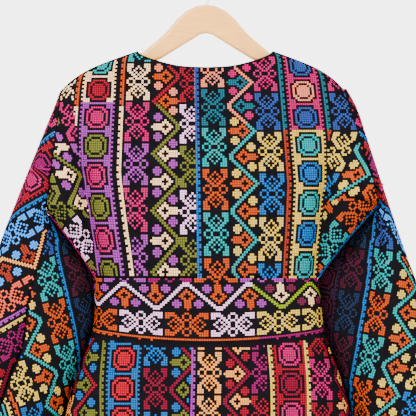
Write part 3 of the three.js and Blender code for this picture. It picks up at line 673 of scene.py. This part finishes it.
def chart_cells(chart, mirrored=False):
    cells = np.array([[mark == "#" for mark in row] for row in chart])
    return cells[:, ::-1] if mirrored else cells


class Canvas:
    """A field of counted stitches: columns run across the bands, rows along them."""

    def __init__(self, columns, rows):
        (self.first_column, end_column), (self.first_row, end_row) = columns, rows
        self.threads = np.full((end_row - self.first_row, end_column - self.first_column), -1)

    def stamp(self, cells, row, column, thread):
        """Works one chart with one thread, its first cell at this row and column."""
        row, column = row - self.first_row, column - self.first_column
        height, width = self.threads.shape
        low, high = max(row, 0), min(row + cells.shape[0], height)
        left, right = max(column, 0), min(column + cells.shape[1], width)
        if low >= high or left >= right:
            return
        part = cells[low - row:high - row, left - column:right - column]
        self.threads[low:high, left:right][part] = THREAD_NAMES.index(thread)

    def block(self, height, width, row, column, thread):
        """Works a full block of stitches."""
        self.stamp(np.ones((height, width), bool), row, column, thread)

    def periods(self, first, period):
        """Numbers of the repeats that touch the field, counted from the row `first`."""
        end_row = self.first_row + self.threads.shape[0]
        return range((self.first_row - first) // period, (end_row - first) // period + 1)


def pick(sequence, number):
    """Thread of a repeat from words such as `red cream | blue pink`: a start, then a loop."""
    start, _, loop = sequence.partition("|")
    start, loop = start.split(), loop.split()
    number = max(number, 0)
    if number < len(start):
        return start[number]
    return loop[(number - len(start)) % len(loop)]


def thread_at(threads, row):
    """Thread of a row from words such as `red 24 olive`: one up to that row, another from it."""
    first, *rest = threads.split()
    return rest[1] if rest and row >= int(rest[0]) else first


def work_horn(canvas, column, first, threads):
    """A column of ram's-horn crosses."""
    for k in canvas.periods(first, HORN_PERIOD):
        canvas.stamp(chart_cells(HORN), first + k * HORN_PERIOD, column, pick(threads, k + 1))


def work_zigzag(canvas, column, first, threads, period=ZIGZAG_PERIOD):
    """A zigzag line with a flower in each bend and two dots beside it: line/flower/dot."""
    for k in canvas.periods(first, period):
        start = first + k * period
        middle = start + period // 2
        for row in range(period):
            bend = min(max(abs(row - period // 2) - 1, 0), ZIGZAG_REACH)
            line = thread_at(threads, start + row).split("/")[0]
            canvas.block(1, 2, start + row, column + bend, line)
        for centre, mirrored, flower_at, dot_at in ((middle, False, 3, 8), (start, True, 0, 1)):
            _, flower, dot = thread_at(threads, centre).split("/")
            canvas.stamp(chart_cells(FLOWER, mirrored), centre - 3, column + flower_at, flower)
            for row in (centre - 6, centre + 3):
                canvas.stamp(chart_cells(DOT), row, column + dot_at, dot)


def work_ladder(canvas, column, first, threads):
    """Octagons framed by a ladder with toothed rails: frame/octagon."""
    for k in canvas.periods(first, LADDER_PERIOD):
        above = pick(threads, k).split("/")[0]
        frame_thread, octagon = pick(threads, k + 1).split("/")
        start = first + k * LADDER_PERIOD
        for rail in (1, 14):
            canvas.block(LADDER_PERIOD, 1, start, column + rail, frame_thread)
        for tooth in (0, 15):
            for row in range(start + start % 2, start + LADDER_PERIOD, 2):
                canvas.block(1, 1, row, column + tooth, frame_thread)
        canvas.block(1, 14, start, column + 1, frame_thread)
        for block in (1, 12):
            canvas.block(2, 3, start - 2, column + block, above)
            canvas.block(3, 3, start, column + block, frame_thread)
        canvas.stamp(chart_cells(OCTAGON), start + 2, column + 3, octagon)


def work_stripe(canvas, column, first, threads):
    """A narrow stripe two stitches wide, one of them with gaps."""
    for k in canvas.periods(first, 3):
        thread = thread_at(threads, first + 3 * k)
        canvas.block(3, 1, first + 3 * k, column, thread)
        canvas.block(2, 1, first + 3 * k, column + 1, thread)


def work_wide_zigzag(canvas, column, first, threads):
    work_zigzag(canvas, column, first, threads, WIDE_ZIGZAG_PERIOD)


WORK = {
    "horn": work_horn, "zigzag": work_zigzag, "wide_zigzag": work_wide_zigzag,
    "ladder": work_ladder, "stripe": work_stripe,
}


def repeat_bands(bands, period):
    """The bands with the same again on both sides."""
    shifts = (-period, 0, period)
    return [(kind, column + shift, *rest) for shift in shifts for kind, column, *rest in bands]


def work_bands(columns, rows, bands):
    """A canvas of these columns and rows with its bands: kind, first column, first row, threads."""
    canvas = Canvas(columns, rows)
    for kind, column, first, threads in bands:
        WORK[kind](canvas, column, first, threads)
    return canvas


# ---- where the stitches lie on the cloth ----
PITCH_ACROSS = 3.69
PITCH_ALONG = 3.9
BODICE_PITCH = 3.64  # across the bodice at row BODICE_ROW
BODICE_ROW = 20
BODICE_GROWTH = 0.0016  # share by which the columns widen with each row down
# First row, its -z, the pitch there and what it grows by.
ROW_SPREAD = {"left": (5, 163.2, 3.332, 0.00646), "right": (19, 213.3, 3.383, 0.00561)}
# Row from which the columns close up, columns lost with each row, and where that begins and is full.
ROW_SQUEEZE = {"left": (65, 0.02, 10, 30), "right": (62, 0.16, 10, 52)}
FOLD_COVER = (33, 56, 0.15)  # column and row where the left half's fold begins, columns lost a row
ROW_SLIDE = {"left": (16, 0.4), "right": (38, 0.42)}  # row where the armhole's fold begins, the same
FAR = 1e6  # a length that no cloth reaches
MAP_STEP = 2.0


def x_sense(grid, towards):
    """Whether x grows (1) or falls (-1) along the lengths on the back of the piece."""
    line = grid[:, grid.shape[1] // 2]
    x = line[line[:, 1] < 0, 0]
    return math.copysign(1, (x[-1] - x[0]) * towards)


class ClothMap:
    """A piece of cloth by lengths measured on it: `u` round it in level sections, `v` = -z.

    Lengths start at the grid's column `anchor`, or on the back where x is `start_x`, and grow
    `towards` 1 or -1 along the grid's columns."""

    def __init__(self, grid, side, towards=1, anchor=0, start_x=None):
        self.outward = -towards * side
        self.levels = np.arange(grid[..., 2].min(), grid[..., 2].max() + MAP_STEP, MAP_STEP)
        sections = np.empty((grid.shape[0], len(self.levels), 4))
        for column, section in zip(grid, sections):
            z = column[:, 2]
            for axis in range(3):
                section[:, axis] = np.interp(self.levels, z, column[:, axis])
            section[:, 3] = (self.levels >= z[0]) & (self.levels <= z[-1])
        steps = np.linalg.norm(np.diff(sections[..., :2], axis=0), axis=-1)
        lengths = np.concatenate([np.zeros((1, len(self.levels))), np.cumsum(steps, axis=0)])
        if start_x is None:
            rounds = (lengths - lengths[anchor]) * towards
        else:
            away = np.abs(sections[..., 0] - start_x) + FAR * (sections[..., 1] >= 0)
            nearest = away.argmin(0)
            levels = np.arange(len(self.levels))
            rest = np.abs(sections[nearest, levels, 0]) - abs(start_x)
            self.sense = x_sense(grid, towards)
            rest = rest * self.sense * math.copysign(1, start_x)
            rounds = (lengths - lengths[nearest, levels]) * towards + rest
        self.u = np.arange(rounds.min(), rounds.max() + MAP_STEP, MAP_STEP)
        self.points = np.full((len(self.levels), len(self.u), 3), np.nan)
        for k, (u, section) in enumerate(zip(rounds.T, sections.transpose(1, 0, 2))):
            order = np.argsort(u)
            found = [np.interp(self.u, u[order], values, left=np.nan, right=np.nan)
                     for values in section[order].T]
            self.points[k] = np.where(found[3] > 0.99, found[:3], np.nan).T  # both neighbours on the cloth

    def u_at(self, x, z):
        """Length at which the level z comes nearest to x."""
        level = self.points[int((z - self.levels[0]) / MAP_STEP), :, 0]
        return self.u[np.nanargmin(np.abs(level - x))]

    def at(self, u, v):
        """Points of the cloth, NaN off it."""
        row = (-v - self.levels[0]) / MAP_STEP
        column = (u - self.u[0]) / MAP_STEP
        k, m = np.floor(row).astype(int), np.floor(column).astype(int)
        off = (k < 0) | (m < 0) | (k >= len(self.levels) - 1) | (m >= len(self.u) - 1)
        k, m = np.clip(k, 0, len(self.levels) - 2), np.clip(m, 0, len(self.u) - 2)
        fr, fc = (row - k)[..., None], (column - m)[..., None]
        p = self.points
        found = ((p[k, m] * (1 - fc) + p[k, m + 1] * fc) * (1 - fr)
                 + (p[k + 1, m] * (1 - fc) + p[k + 1, m + 1] * fc) * fr)
        found[off] = np.nan
        return found


def straight(start, along, across):
    """A lattice from the (u, v) of cell 0, 0, its rows and columns counted in these directions."""
    e_j = np.array(along) / np.linalg.norm(along) * PITCH_ALONG
    e_i = np.array(across) / np.linalg.norm(across) * PITCH_ACROSS
    return lambda i, j: (start[0] + i * e_i[0] + j * e_j[0], start[1] + i * e_i[1] + j * e_j[1])


def spread(name):
    """The bodice's lattice, whose cells grow a little towards the waist."""
    first, top, pitch, growth = ROW_SPREAD[name]
    start, slope, inner, outer = ROW_SQUEEZE[name]

    def place(i, j):
        rows = j - first
        i = i - slope * np.maximum(j - start, 0) * np.clip((i - inner) / (outer - inner), 0, 1)
        u = i * BODICE_PITCH * (1 + BODICE_GROWTH * (j - BODICE_ROW))
        return u, top + pitch * rows + growth * rows ** 2

    return place


def under_fold(i, j):
    """The left bodice's lattice up to the lengthwise fold that covers its last columns."""
    u, v = spread("left")(i, j)
    column, first, slope = FOLD_COVER
    return np.where(i < column - slope * np.maximum(j - first, 0), u, -FAR), v


def over_fold(i, j):
    """The left bodice's lattice from that fold on, which comes in over the rest."""
    _, first, slope = FOLD_COVER
    return spread("left")(i - slope * np.maximum(j - first, 0), j)


def slid(name):
    """The bodice's lattice where the deep fold draws its columns in, more with each row."""
    base = spread(name)
    first, slope = ROW_SLIDE[name]
    return lambda i, j: base(i - slope * np.maximum(j - first, 0), j)


def lay_stitches(cloth, canvas, place, keep=None):
    """Lays a canvas on the cloth by the lattice `place`, which turns cells into (u, v)."""
    rows, columns = np.nonzero(canvas.threads >= 0)
    threads = canvas.threads[rows, columns]
    i = columns + canvas.first_column + 0.5
    j = rows + canvas.first_row + 0.5
    reach = 0.3
    centre = cloth.at(*place(i, j))
    side = (cloth.at(*place(i + reach, j)) - cloth.at(*place(i - reach, j))) / (2 * reach)
    length = (cloth.at(*place(i, j + reach)) - cloth.at(*place(i, j - reach))) / (2 * reach)
    whole = ~(np.isnan(centre).any(1) | np.isnan(side).any(1) | np.isnan(length).any(1))
    if keep is not None:
        whole &= keep(centre[:, 0], centre[:, 2])
    centre, side, length = centre[whole], side[whole], length[whole]
    (u0, v0), (u1, v1), (u2, v2) = place(0, 0), place(1, 0), place(0, 1)
    turning = (u1 - u0) * (v2 - v0) - (v1 - v0) * (u2 - u0)
    normal = np.cross(side, length) * math.copysign(1, turning * cloth.outward)
    normal /= np.maximum(np.linalg.norm(normal, axis=1, keepdims=True), 1e-9)
    return centre, side, length, normal, threads[whole]


# ---- stitches as geometry ----
FILLED_SHARE = 0.84  # of the pitch that a stitch's foot takes up
STITCH_RISE = 0.0007  # metres from foot to tip
STITCH_LIFT = 0.35  # millimetres from the cloth up to the foot
STITCH_CORNERS = 5  # four at the foot and the tip
SHADE_SPREAD = 0.05  # how much the brightness of the threads varies


class Tree:
    """A Geometry Nodes tree with named inputs."""

    def __init__(self, name, inputs):
        self.tree = bpy.data.node_groups.new(name, "GeometryNodeTree")
        new_socket = self.tree.interface.new_socket
        for way in ("OUTPUT", "INPUT"):
            new_socket("Geometry", in_out=way, socket_type="NodeSocketGeometry")
        self.identifiers = {}
        for label, kind, value in inputs:
            socket = new_socket(label, in_out="INPUT", socket_type=kind)
            if value is not None:
                socket.default_value = value
            self.identifiers[label] = socket.identifier
        self.entry = self.tree.nodes.new("NodeGroupInput")

    def add(self, kind, settings=None, inputs=None):
        return add_node(self.tree, kind, settings, inputs)


def stitch_tree():
    """One raised four-sided cross stitch on every point, turned and sized by the point."""
    tree = Tree("cross_stitches", [
        ("Filled Share", "NodeSocketFloat", FILLED_SHARE),
        ("Rise", "NodeSocketFloat", STITCH_RISE),
        ("Thread", "NodeSocketMaterial", None),
    ])
    cone = tree.add("GeometryNodeMeshCone", {"fill_type": "NONE"}, {
        "Vertices": 4, "Side Segments": 1, "Radius Top": 0.0, "Radius Bottom": math.sqrt(0.5), "Depth": 1.0,
    })
    squared = tree.add("GeometryNodeTransform", None, {
        "Geometry": cone.outputs["Mesh"], "Rotation": (0, 0, math.pi / 4),
    })
    size = tree.add("GeometryNodeInputNamedAttribute", {"data_type": "FLOAT_VECTOR"}, {"Name": "size"})
    turn = tree.add("GeometryNodeInputNamedAttribute", {"data_type": "FLOAT_VECTOR"}, {"Name": "turn"})
    share = tree.add("ShaderNodeCombineXYZ", None, {
        "X": tree.entry.outputs["Filled Share"], "Y": tree.entry.outputs["Filled Share"],
        "Z": tree.entry.outputs["Rise"],
    })
    scale = tree.add("ShaderNodeVectorMath", {"operation": "MULTIPLY"}, {
        0: size.outputs["Attribute"], 1: share.outputs["Vector"],
    })
    placed = tree.add("GeometryNodeInstanceOnPoints", None, {
        "Points": tree.entry.outputs["Geometry"], "Instance": squared.outputs["Geometry"],
        "Rotation": turn.outputs["Attribute"], "Scale": scale.outputs["Vector"],
    })
    real = tree.add("GeometryNodeRealizeInstances", None, {"Geometry": placed.outputs["Instances"]})
    dyed = tree.add("GeometryNodeSetMaterial", None, {
        "Geometry": real.outputs["Geometry"], "Material": tree.entry.outputs["Thread"],
    })
    tree.add("NodeGroupOutput", None, {"Geometry": dyed.outputs["Geometry"]})
    return tree


STITCHES = stitch_tree()
rng = np.random.default_rng(7)


def euler_angles(side, length, normal):
    """XYZ angles of the frames whose X is `side` and Z is `normal`."""
    x = side / np.linalg.norm(side, axis=1, keepdims=True)
    z = normal
    y = np.cross(z, x)
    return np.stack([
        np.arctan2(y[:, 2], z[:, 2]),
        np.arctan2(-x[:, 2], np.hypot(x[:, 0], x[:, 1])),
        np.arctan2(x[:, 1], x[:, 0]),
    ], axis=1)


def embroider(name, fields):
    """All the stitches of one piece of cloth, as one plain mesh."""
    centre, side, length, normal, threads = (np.concatenate(part) for part in zip(*fields))
    count = len(centre)
    points = bpy.data.meshes.new(name + "_points")
    points.vertices.add(count)
    points.vertices.foreach_set("co", ((centre + normal * STITCH_LIFT) * MM).astype(np.float32).ravel())
    size = np.stack([
        np.linalg.norm(side, axis=1) * MM, np.linalg.norm(length, axis=1) * MM, np.ones(count),
    ], axis=1)
    shade = rng.normal(1, SHADE_SPREAD, (count, 1))
    colours = THREAD_COLOURS[threads].copy()
    colours[:, :3] = np.clip(colours[:, :3] * shade, 0, 1)
    for label, kind, values in (
        ("size", "FLOAT_VECTOR", size), ("turn", "FLOAT_VECTOR", euler_angles(side, length, normal)),
        ("thread", "FLOAT_COLOR", colours),
    ):
        attribute = points.attributes.new(label, kind, "POINT")
        field = "color" if kind == "FLOAT_COLOR" else "vector"
        attribute.data.foreach_set(field, values.astype(np.float32).ravel())
    source = add_object(name + "_points", points)
    modifier = source.modifiers.new("stitches", "NODES")
    modifier.node_group = STITCHES.tree
    for label, value in (("Filled Share", FILLED_SHARE), ("Rise", STITCH_RISE), ("Thread", THREAD)):
        modifier[STITCHES.identifiers[label]] = value
    evaluated = source.evaluated_get(bpy.context.evaluated_depsgraph_get())
    mesh = bpy.data.meshes.new_from_object(evaluated)
    mesh.name = name
    bpy.data.objects.remove(source)
    lay_bake_map(mesh, count)
    return add_object(name, mesh)


def lay_bake_map(mesh, count):
    """A texture map with one small square for each stitch."""
    squares = math.ceil(math.sqrt(count))
    corners = np.zeros(len(mesh.loops), np.int32)
    mesh.loops.foreach_get("vertex_index", corners)
    stitch, corner = corners // STITCH_CORNERS, corners % STITCH_CORNERS
    local = np.array([(0.3, 0.3), (0.7, 0.3), (0.7, 0.7), (0.3, 0.7), (0.5, 0.5)])[corner]
    cell = np.stack([stitch % squares, stitch // squares], axis=1)
    layer = mesh.uv_layers.new(name="OFBake")
    layer.data.foreach_set("uv", ((cell + local) / squares).astype(np.float32).ravel())


# ---- the pieces ----
def add_cloth(node, points, normals, side, stitches):
    """A piece of cloth with its embroidery, in place of its plain solid."""
    piece = cloth_shell("cloth_" + node, points, normals, side)
    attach(piece, "root")
    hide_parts(node)
    work = embroider("embroidery_" + node, stitches)
    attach(work, "root")
    spans = np.linalg.norm(np.diff(points, axis=0), axis=-1).sum(0)
    lengths = np.linalg.norm(np.diff(points, axis=1), axis=-1).sum(1)
    flat = (float(spans.max()) * MM, float(lengths.max()) * MM)
    area = min(float(flat_area(points)), flat[0] * flat[1])


# First and end column, first and end row of each canvas.
BODICE_FIELD = (-4, 110), (-16, 330)
EDGE_FIELD = (0, 44), (-30, 60)
UPPER_SLEEVE_FIELD = (-160, 175), (-215, 70)
UNDER_SLEEVE_FIELD = (-50, 110), (-10, 130)
WAISTBAND_FIELD = (-9, 32), (-16, 130)
GORE_FIELD = (-60, 60), (-2, 236)

LEFT_BANDS = [
    ("horn", -4, 6, "red red white olive white | olive white"),
    ("zigzag", 7, -1, "red/orange/blush 25 olive/cream/lilac"),
    ("horn", 21, 5, "turquoise cream pink lilac | pink lilac"),
    ("stripe", 33, -1, "orange 24 cream"),
    ("ladder", 37, -2, "cream/red cream/turquoise cream/red | lilac/pink lilac/olive"),
    ("stripe", 54, -1, "orange 24 cream"),
    ("horn", 57, 5, "cream cream | pink lilac"),
    ("zigzag", 69, 20, "red/orange/pink 30 olive/cream/lilac"),
    ("horn", 83, 4, "| olive"),
    ("stripe", 96, 0, "magenta"),
]
RIGHT_BANDS = [
    ("stripe", 0, 0, "blue 40 azure"),
    ("horn", 3, 17, "blush teal turquoise orange | turquoise orange"),
    ("zigzag", 15, 13, "blush/teal/pink 34 turquoise/orange/straw"),
    ("horn", 28, 0, "pink pink blue straw azure | straw azure"),
    ("stripe", 40, 1, "teal 37 brick"),
    ("ladder", 43, -2, "pink/blush pink/blue pink/blush pink/blue | straw/turquoise straw/azure"),
    ("stripe", 60, 1, "teal 37 brick"),
    ("horn", 63, 0, "pink pink blue straw | azure straw"),
    ("zigzag", 75, 9, "blush/teal/pink 30 turquoise/orange/straw"),
    ("horn", 89, 5, "blue orange azure turquoise orange | turquoise orange"),
    ("stripe", 101, 0, "azure"),
]
LEFT_EDGE_BANDS = [
    ("stripe", 1, 0, "pink"),
    ("horn", 3, -6, "olive olive white | olive white"),
    ("zigzag", 17, 3, "olive/cream/lilac"),
    ("horn", 31, 4, "| magenta pink"),
]
RIGHT_EDGE_BANDS = [
    ("stripe", 1, 0, "azure"),
    ("horn", 3, -16, "orange turquoise orange | turquoise orange"),
    ("zigzag", 17, -4, "turquoise/orange/straw"),
    ("horn", 31, -6, "| azure straw"),
]
EDGE_INSET = 7  # from the chord of the side seam to its first stitches
EDGE_TOP = 6  # how far over the underarm the strip by the side seam begins
EDGE_FOOT = 4  # how far over the waist its direction is measured


def past_fold(face, name):
    """Tells which points lie on the outer side of the deep fold beside the armhole."""
    fold = BODY_FOLDS[face][0 if name == "left" else 1]
    sign = SIDES[name]["sign"]

    def test(x, z):
        down = np.clip((fold[1] - z) / (fold[1] - fold[3]), 0, 1)
        return (x - lerp(fold[0], fold[2], down)) * sign > 0

    return test


def bodice_stitches(name, face, grid, side):
    """Embroidery of half a bodice: the middle, the strip by the armhole and the strip by the side."""
    corner = SIDES[name]
    sign = corner["sign"]
    bands = LEFT_BANDS if name == "left" else RIGHT_BANDS
    middle = work_bands(*BODICE_FIELD, bands)
    edge = work_bands(*EDGE_FIELD, LEFT_EDGE_BANDS if name == "left" else RIGHT_EDGE_BANDS)
    cloth = ClothMap(grid, side)
    past = past_fold(face, name)
    under_x, under_z = corner["underarm"]
    edge_z, foot_z = under_z + EDGE_TOP, WAIST_Z + EDGE_FOOT

    def in_middle(x, z):
        return ~past(x, z)

    def by_armhole(x, z):
        return past(x, z) & (z > edge_z)

    def by_side(x, z):
        return past(x, z) & (z <= edge_z)

    if name == "left":
        (first, end), rows = BODICE_FIELD
        under = work_bands((first, FOLD_COVER[0]), rows, bands)
        over = work_bands((FOLD_COVER[0], end), rows, bands)
        fields = [lay_stitches(cloth, under, under_fold, in_middle),
                  lay_stitches(cloth, over, over_fold, in_middle)]
    else:
        fields = [lay_stitches(cloth, middle, spread(name), in_middle)]
    fields.append(lay_stitches(cloth, middle, slid(name), by_armhole))

    # Lengths from the centre out to the side seam at the underarm and at the waist.
    known = ~np.isnan(cloth.points[..., 0])
    reach = np.where(known, cloth.u, 0).max(1)
    at_under = float(np.interp(under_z, cloth.levels, reach))
    at_waist = float(np.interp(foot_z, cloth.levels, reach))
    direction = (at_waist - at_under, under_z - foot_z)
    square_in = (-direction[1], direction[0])
    side_seam = straight((at_under - EDGE_INSET, -under_z), direction, square_in)
    fields.append(lay_stitches(cloth, edge, side_seam, by_side))
    return fields


for name, corner in SIDES.items():
    grid = bodice_grid(name, "back")
    normals = grid_normals(grid, corner["sign"])
    square_bodice(normals, 0)
    stitches = bodice_stitches(name, "back", grid, corner["sign"])
    add_cloth("back_" + name, grid, normals, corner["sign"], stitches)

front_left, front_right = bodice_grid("left", "front"), bodice_grid("right", "front")
front_grid = np.concatenate([front_left[::-1], front_right[1:]])
front_normals = grid_normals(front_grid, -1)
square_bodice(front_normals, front_left.shape[0] - 1)
front_stitches = (bodice_stitches("left", "front", front_left, 1)
                  + bodice_stitches("right", "front", front_right, -1))
add_cloth("front", front_grid, front_normals, -1, front_stitches)

UPPER_SLEEVE_BANDS = [
    ("horn", -13, 6, "| red pink"),
    ("stripe", 0, 0, "azure"),
    ("ladder", 3, 2, "| red/pink red/magenta"),
    ("stripe", 20, 0, "azure"),
    ("horn", 23, 6, "| sky magenta"),
    ("zigzag", 35, 2, "peach/brick/sky"),
    ("horn", 49, 9, "| salmon khaki"),
    ("stripe", 61, 0, "lilac"),
    ("stripe", 64, 0, "straw"),
    ("horn", 67, 3, "| magenta magenta khaki"),
    ("zigzag", 79, 10, "crimson/peach/red"),
    ("horn", 93, 4, "| olive khaki"),
    ("stripe", 105, 0, "orange"),
    ("ladder", 108, 2, "| blue/coral blue/pink"),
    ("stripe", 125, 0, "orange"),
]
UNDER_SLEEVE_BANDS = [
    # The bands left of column 0 lie on the sleeve's inner side, in the recess beside the waist. They are
    # worked in the darkest threads (maroon, plum, umber, wine, navy) as painted shade of that recess, not
    # as the threads' own colours.
    ("horn", -46, 4, "| maroon plum"),
    ("stripe", -33, 0, "umber"),
    ("ladder", -30, 3, "| plum/wine"),
    ("horn", -13, 2, "| wine navy"),
    ("stripe", 0, 0, "azure"),
    ("horn", 3, 0, "blue blue turquoise | orange turquoise"),
    ("zigzag", 16, 8, "turquoise/orange/straw"),
    ("horn", 30, 2, "azure azure straw | azure straw"),
    ("stripe", 42, 0, "orange"),
    ("ladder", 45, 5, "| straw/turquoise straw/azure"),
    ("stripe", 62, 0, "orange"),
    ("horn", 65, 2, "| pink straw"),
    ("zigzag", 78, 3, "olive/cream/lilac"),
    ("horn", 92, 6, "| turquoise orange"),
]
RISE = math.radians(29)  # how steeply the bands of the upper sleeve rise towards the body
UPPER_ZERO = 300  # |x| on the back from which lengths on the upper sleeve are counted
UPPER_START = (2.6, 317)  # where the first stripe crosses: length past UPPER_ZERO, and -z
UPPER_PERIOD = 142  # columns after which its bands repeat
UNDER_ZERO = 240  # the same |x| for the under sleeve
UNDER_FOOT = {"left": (209, -641), "right": (258, -641)}  # |x| and z that its first column runs to

for name, corner in SIDES.items():
    sign = corner["sign"]
    upper = sleeve_grid(name, "upper", 60)
    under = sleeve_grid(name, "under", 38)
    upper_map = ClothMap(upper, sign, start_x=sign * UPPER_ZERO)
    under_map = ClothMap(under, sign, start_x=sign * UNDER_ZERO)

    # The upper sleeve's bands rise towards the body; rows run along them.
    out = sign * upper_map.sense  # how u grows outwards
    bands = work_bands(*UPPER_SLEEVE_FIELD, repeat_bands(UPPER_SLEEVE_BANDS, UPPER_PERIOD))
    along = (-math.cos(RISE) * out, -math.sin(RISE))
    across = (-math.sin(RISE) * out, math.cos(RISE))
    lattice = straight((UPPER_START[0] * out, UPPER_START[1]), along, across)
    upper_fields = [lay_stitches(upper_map, bands, lattice)]

    # The under sleeve's columns run along the edge that hangs beside the waist.
    out = sign * under_map.sense
    bands = work_bands(*UNDER_SLEEVE_FIELD, UNDER_SLEEVE_BANDS)
    under_x, under_z = corner["underarm"]
    foot_x, foot_z = UNDER_FOOT[name]
    along = ((foot_x - under_x) * out, under_z - foot_z)
    across = (along[1] * out, -along[0] * out)
    lattice = straight(((under_x - UNDER_ZERO) * out, -under_z), along, across)
    under_fields = [lay_stitches(under_map, bands, lattice)]

    for piece, grid, fields in (("upper", upper, upper_fields), ("under", under, under_fields)):
        normals = grid_normals(grid, sign)
        add_cloth(f"sleeve_{piece}_{name}", grid, normals, sign,
                  fields)

WAISTBAND_BANDS = [
    ("horn", -9, 2, "| orange lilac magenta"),
    ("wide_zigzag", 2, -3, "white/orange/lilac 64 lime/cream/maroon"),
    ("horn", 16, -11, "orange orange white orange white | straw"),
    ("stripe", 28, 0, "orange 64 magenta"),
]
BAND_PITCH = 4.12  # along the waistband
BAND_START = -185  # length at which its row 0 lies
SKIRT_GORES = [
    [("zigzag", -20, -6, "red/olive/azure"), ("stripe", -6, 0, "olive"),
     ("ladder", -3, 0, "| azure/coral"), ("horn", 14, -8, "azure | crimson azure"),
     ("horn", -32, 4, "| peach crimson"), ("stripe", -35, 0, "straw"),
     ("zigzag", -50, 5, "crimson/peach/red")],
    [("horn", -10, -8, "azure azure | crimson azure"), ("zigzag", 2, 8, "crimson/olive/azure"),
     ("stripe", -14, 0, "olive"), ("ladder", -31, 3, "| azure/coral"), ("stripe", 16, 0, "lilac"),
     ("horn", 19, 4, "| peach crimson"), ("zigzag", 31, 3, "crimson/peach/red")],
    [("stripe", -17, 0, "lilac"), ("horn", -14, 4, "peach peach peach | crimson peach"),
     ("zigzag", -2, 13, "crimson/peach/red"), ("horn", 11, 4, "magenta magenta | red magenta"),
     ("stripe", 24, 0, "straw"), ("ladder", 27, -2, "| red/crimson red/pink"),
     ("zigzag", -32, 4, "olive/cream/lilac"), ("horn", 44, 0, "| red pink"),
     ("horn", -45, 0, "| azure straw")],
    [("stripe", -11, 0, "straw"), ("ladder", -9, -2, "| red/crimson red/pink"), ("stripe", 6, 0, "straw"),
     ("horn", 8, -12, "red red pink | red pink"), ("zigzag", 21, 3, "crimson/peach/red"),
     ("horn", -26, 2, "| magenta red"), ("zigzag", -40, 5, "turquoise/orange/straw"),
     ("stripe", 35, 0, "lilac"), ("horn", 38, 5, "| azure straw"), ("stripe", 50, 0, "orange")],
]
# Heights of two levels, and at both of them x of the gores' seams and of each gore's column 0.
GORE_LEVELS = (-650, -762)
GORE_SEAMS = [(-215, -260), (-109, -110), (-25, -29), (104, 105), (215, 260)]
GORE_LINES = [(-157, -160), (-69.6, -69.6), (37.6, 36), (145.5, 149)]
SKIRT_START = 638  # -z of row 0
# Columns and rows of cells: of the cloth, and finer ones that the stitches are laid by.
WAISTBAND_CELLS, WAISTBAND_FINE = (84, 24), (200, 30)
SKIRT_CELLS, SKIRT_FINE = (150, 92), (360, 200)
BEND = 100  # length over which the columns turn into line with the cloth
SKIRT_MARGIN = 9  # plain cloth under the waistband
ANGLES = {"back": 0, "front": 180}


def sagging(i, j):
    """The waistband's lattice: columns go down, closer to each other where the band is lower."""
    u = BAND_START + j * BAND_PITCH
    return u, i * PITCH_ACROSS * (WAIST_Z - band_foot(u)) / BAND_HEIGHT - WAIST_Z


def seam_x(seam, z):
    """x of a gore's seam, which spreads with the girth from the lower level down."""
    top, foot = GORE_SEAMS[seam]
    upper, lower = GORE_LEVELS
    growth = curve(GIRTH, "width", z) / curve(GIRTH, "width", np.array([float(lower)]))
    return np.where(z >= lower, lerp(top, foot, (upper - z) / (upper - lower)), foot * growth)


def inside_gore(gore):
    def test(x, z):
        return (z < band_foot(x) - SKIRT_MARGIN) & (x >= seam_x(gore, z)) & (x < seam_x(gore + 1, z))

    return test


def gore_lattice(gore, cloth):
    """Columns that pass through the gore's line at both levels, then run down along the cloth."""
    upper, lower = GORE_LEVELS
    top, foot = (cloth.u_at(x, z) for x, z in zip(GORE_LINES[gore], GORE_LEVELS))
    slope = (foot - top) / (upper - lower)

    def place(i, j):
        v = SKIRT_START + j * PITCH_ALONG
        past = np.maximum(v + lower, 0)
        run = np.minimum(v, -lower) + upper + BEND * (1 - np.exp(-past / BEND))
        return top + slope * run + i * PITCH_ACROSS, v

    return place


for face, start_angle in ANGLES.items():
    band = girth_grid(start_angle, *WAISTBAND_CELLS, band_foot, level(WAIST_Z))
    normals = girth_normals(band)
    sense = -1 if face == "back" else 1  # x falls along the columns on the back
    fine = girth_grid(start_angle, *WAISTBAND_FINE, band_foot, level(WAIST_Z))
    band_map = ClothMap(fine, -1, sense, anchor=fine.shape[0] // 2)
    bands = work_bands(*WAISTBAND_FIELD, WAISTBAND_BANDS)
    fields = [lay_stitches(band_map, bands, sagging)]
    add_cloth("waistband_" + face, band, normals, -1, fields)

    skirt = girth_grid(start_angle, *SKIRT_CELLS, level(HEM_Z), band_foot)
    normals = girth_normals(skirt)
    fine = girth_grid(start_angle, *SKIRT_FINE, level(HEM_Z), band_foot)
    fields = []
    for gore, bands in enumerate(SKIRT_GORES):
        middle = (GORE_SEAMS[gore][0] + GORE_SEAMS[gore + 1][0]) / 2
        anchor = int(np.abs(fine[:, -1, 0] - middle).argmin())
        gore_map = ClothMap(fine, -1, sense, anchor)
        canvas = work_bands(*GORE_FIELD, bands)
        lattice = gore_lattice(gore, gore_map)
        fields.append(lay_stitches(gore_map, canvas, lattice, inside_gore(gore)))
    add_cloth("skirt_" + face, skirt, normals, -1, fields)

# ---- hanger ----
for node, material in (("hanger", wood_material()), ("hook", steel_material())):
    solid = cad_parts[node]
    solid.data.materials.clear()
    solid.data.materials.append(material)
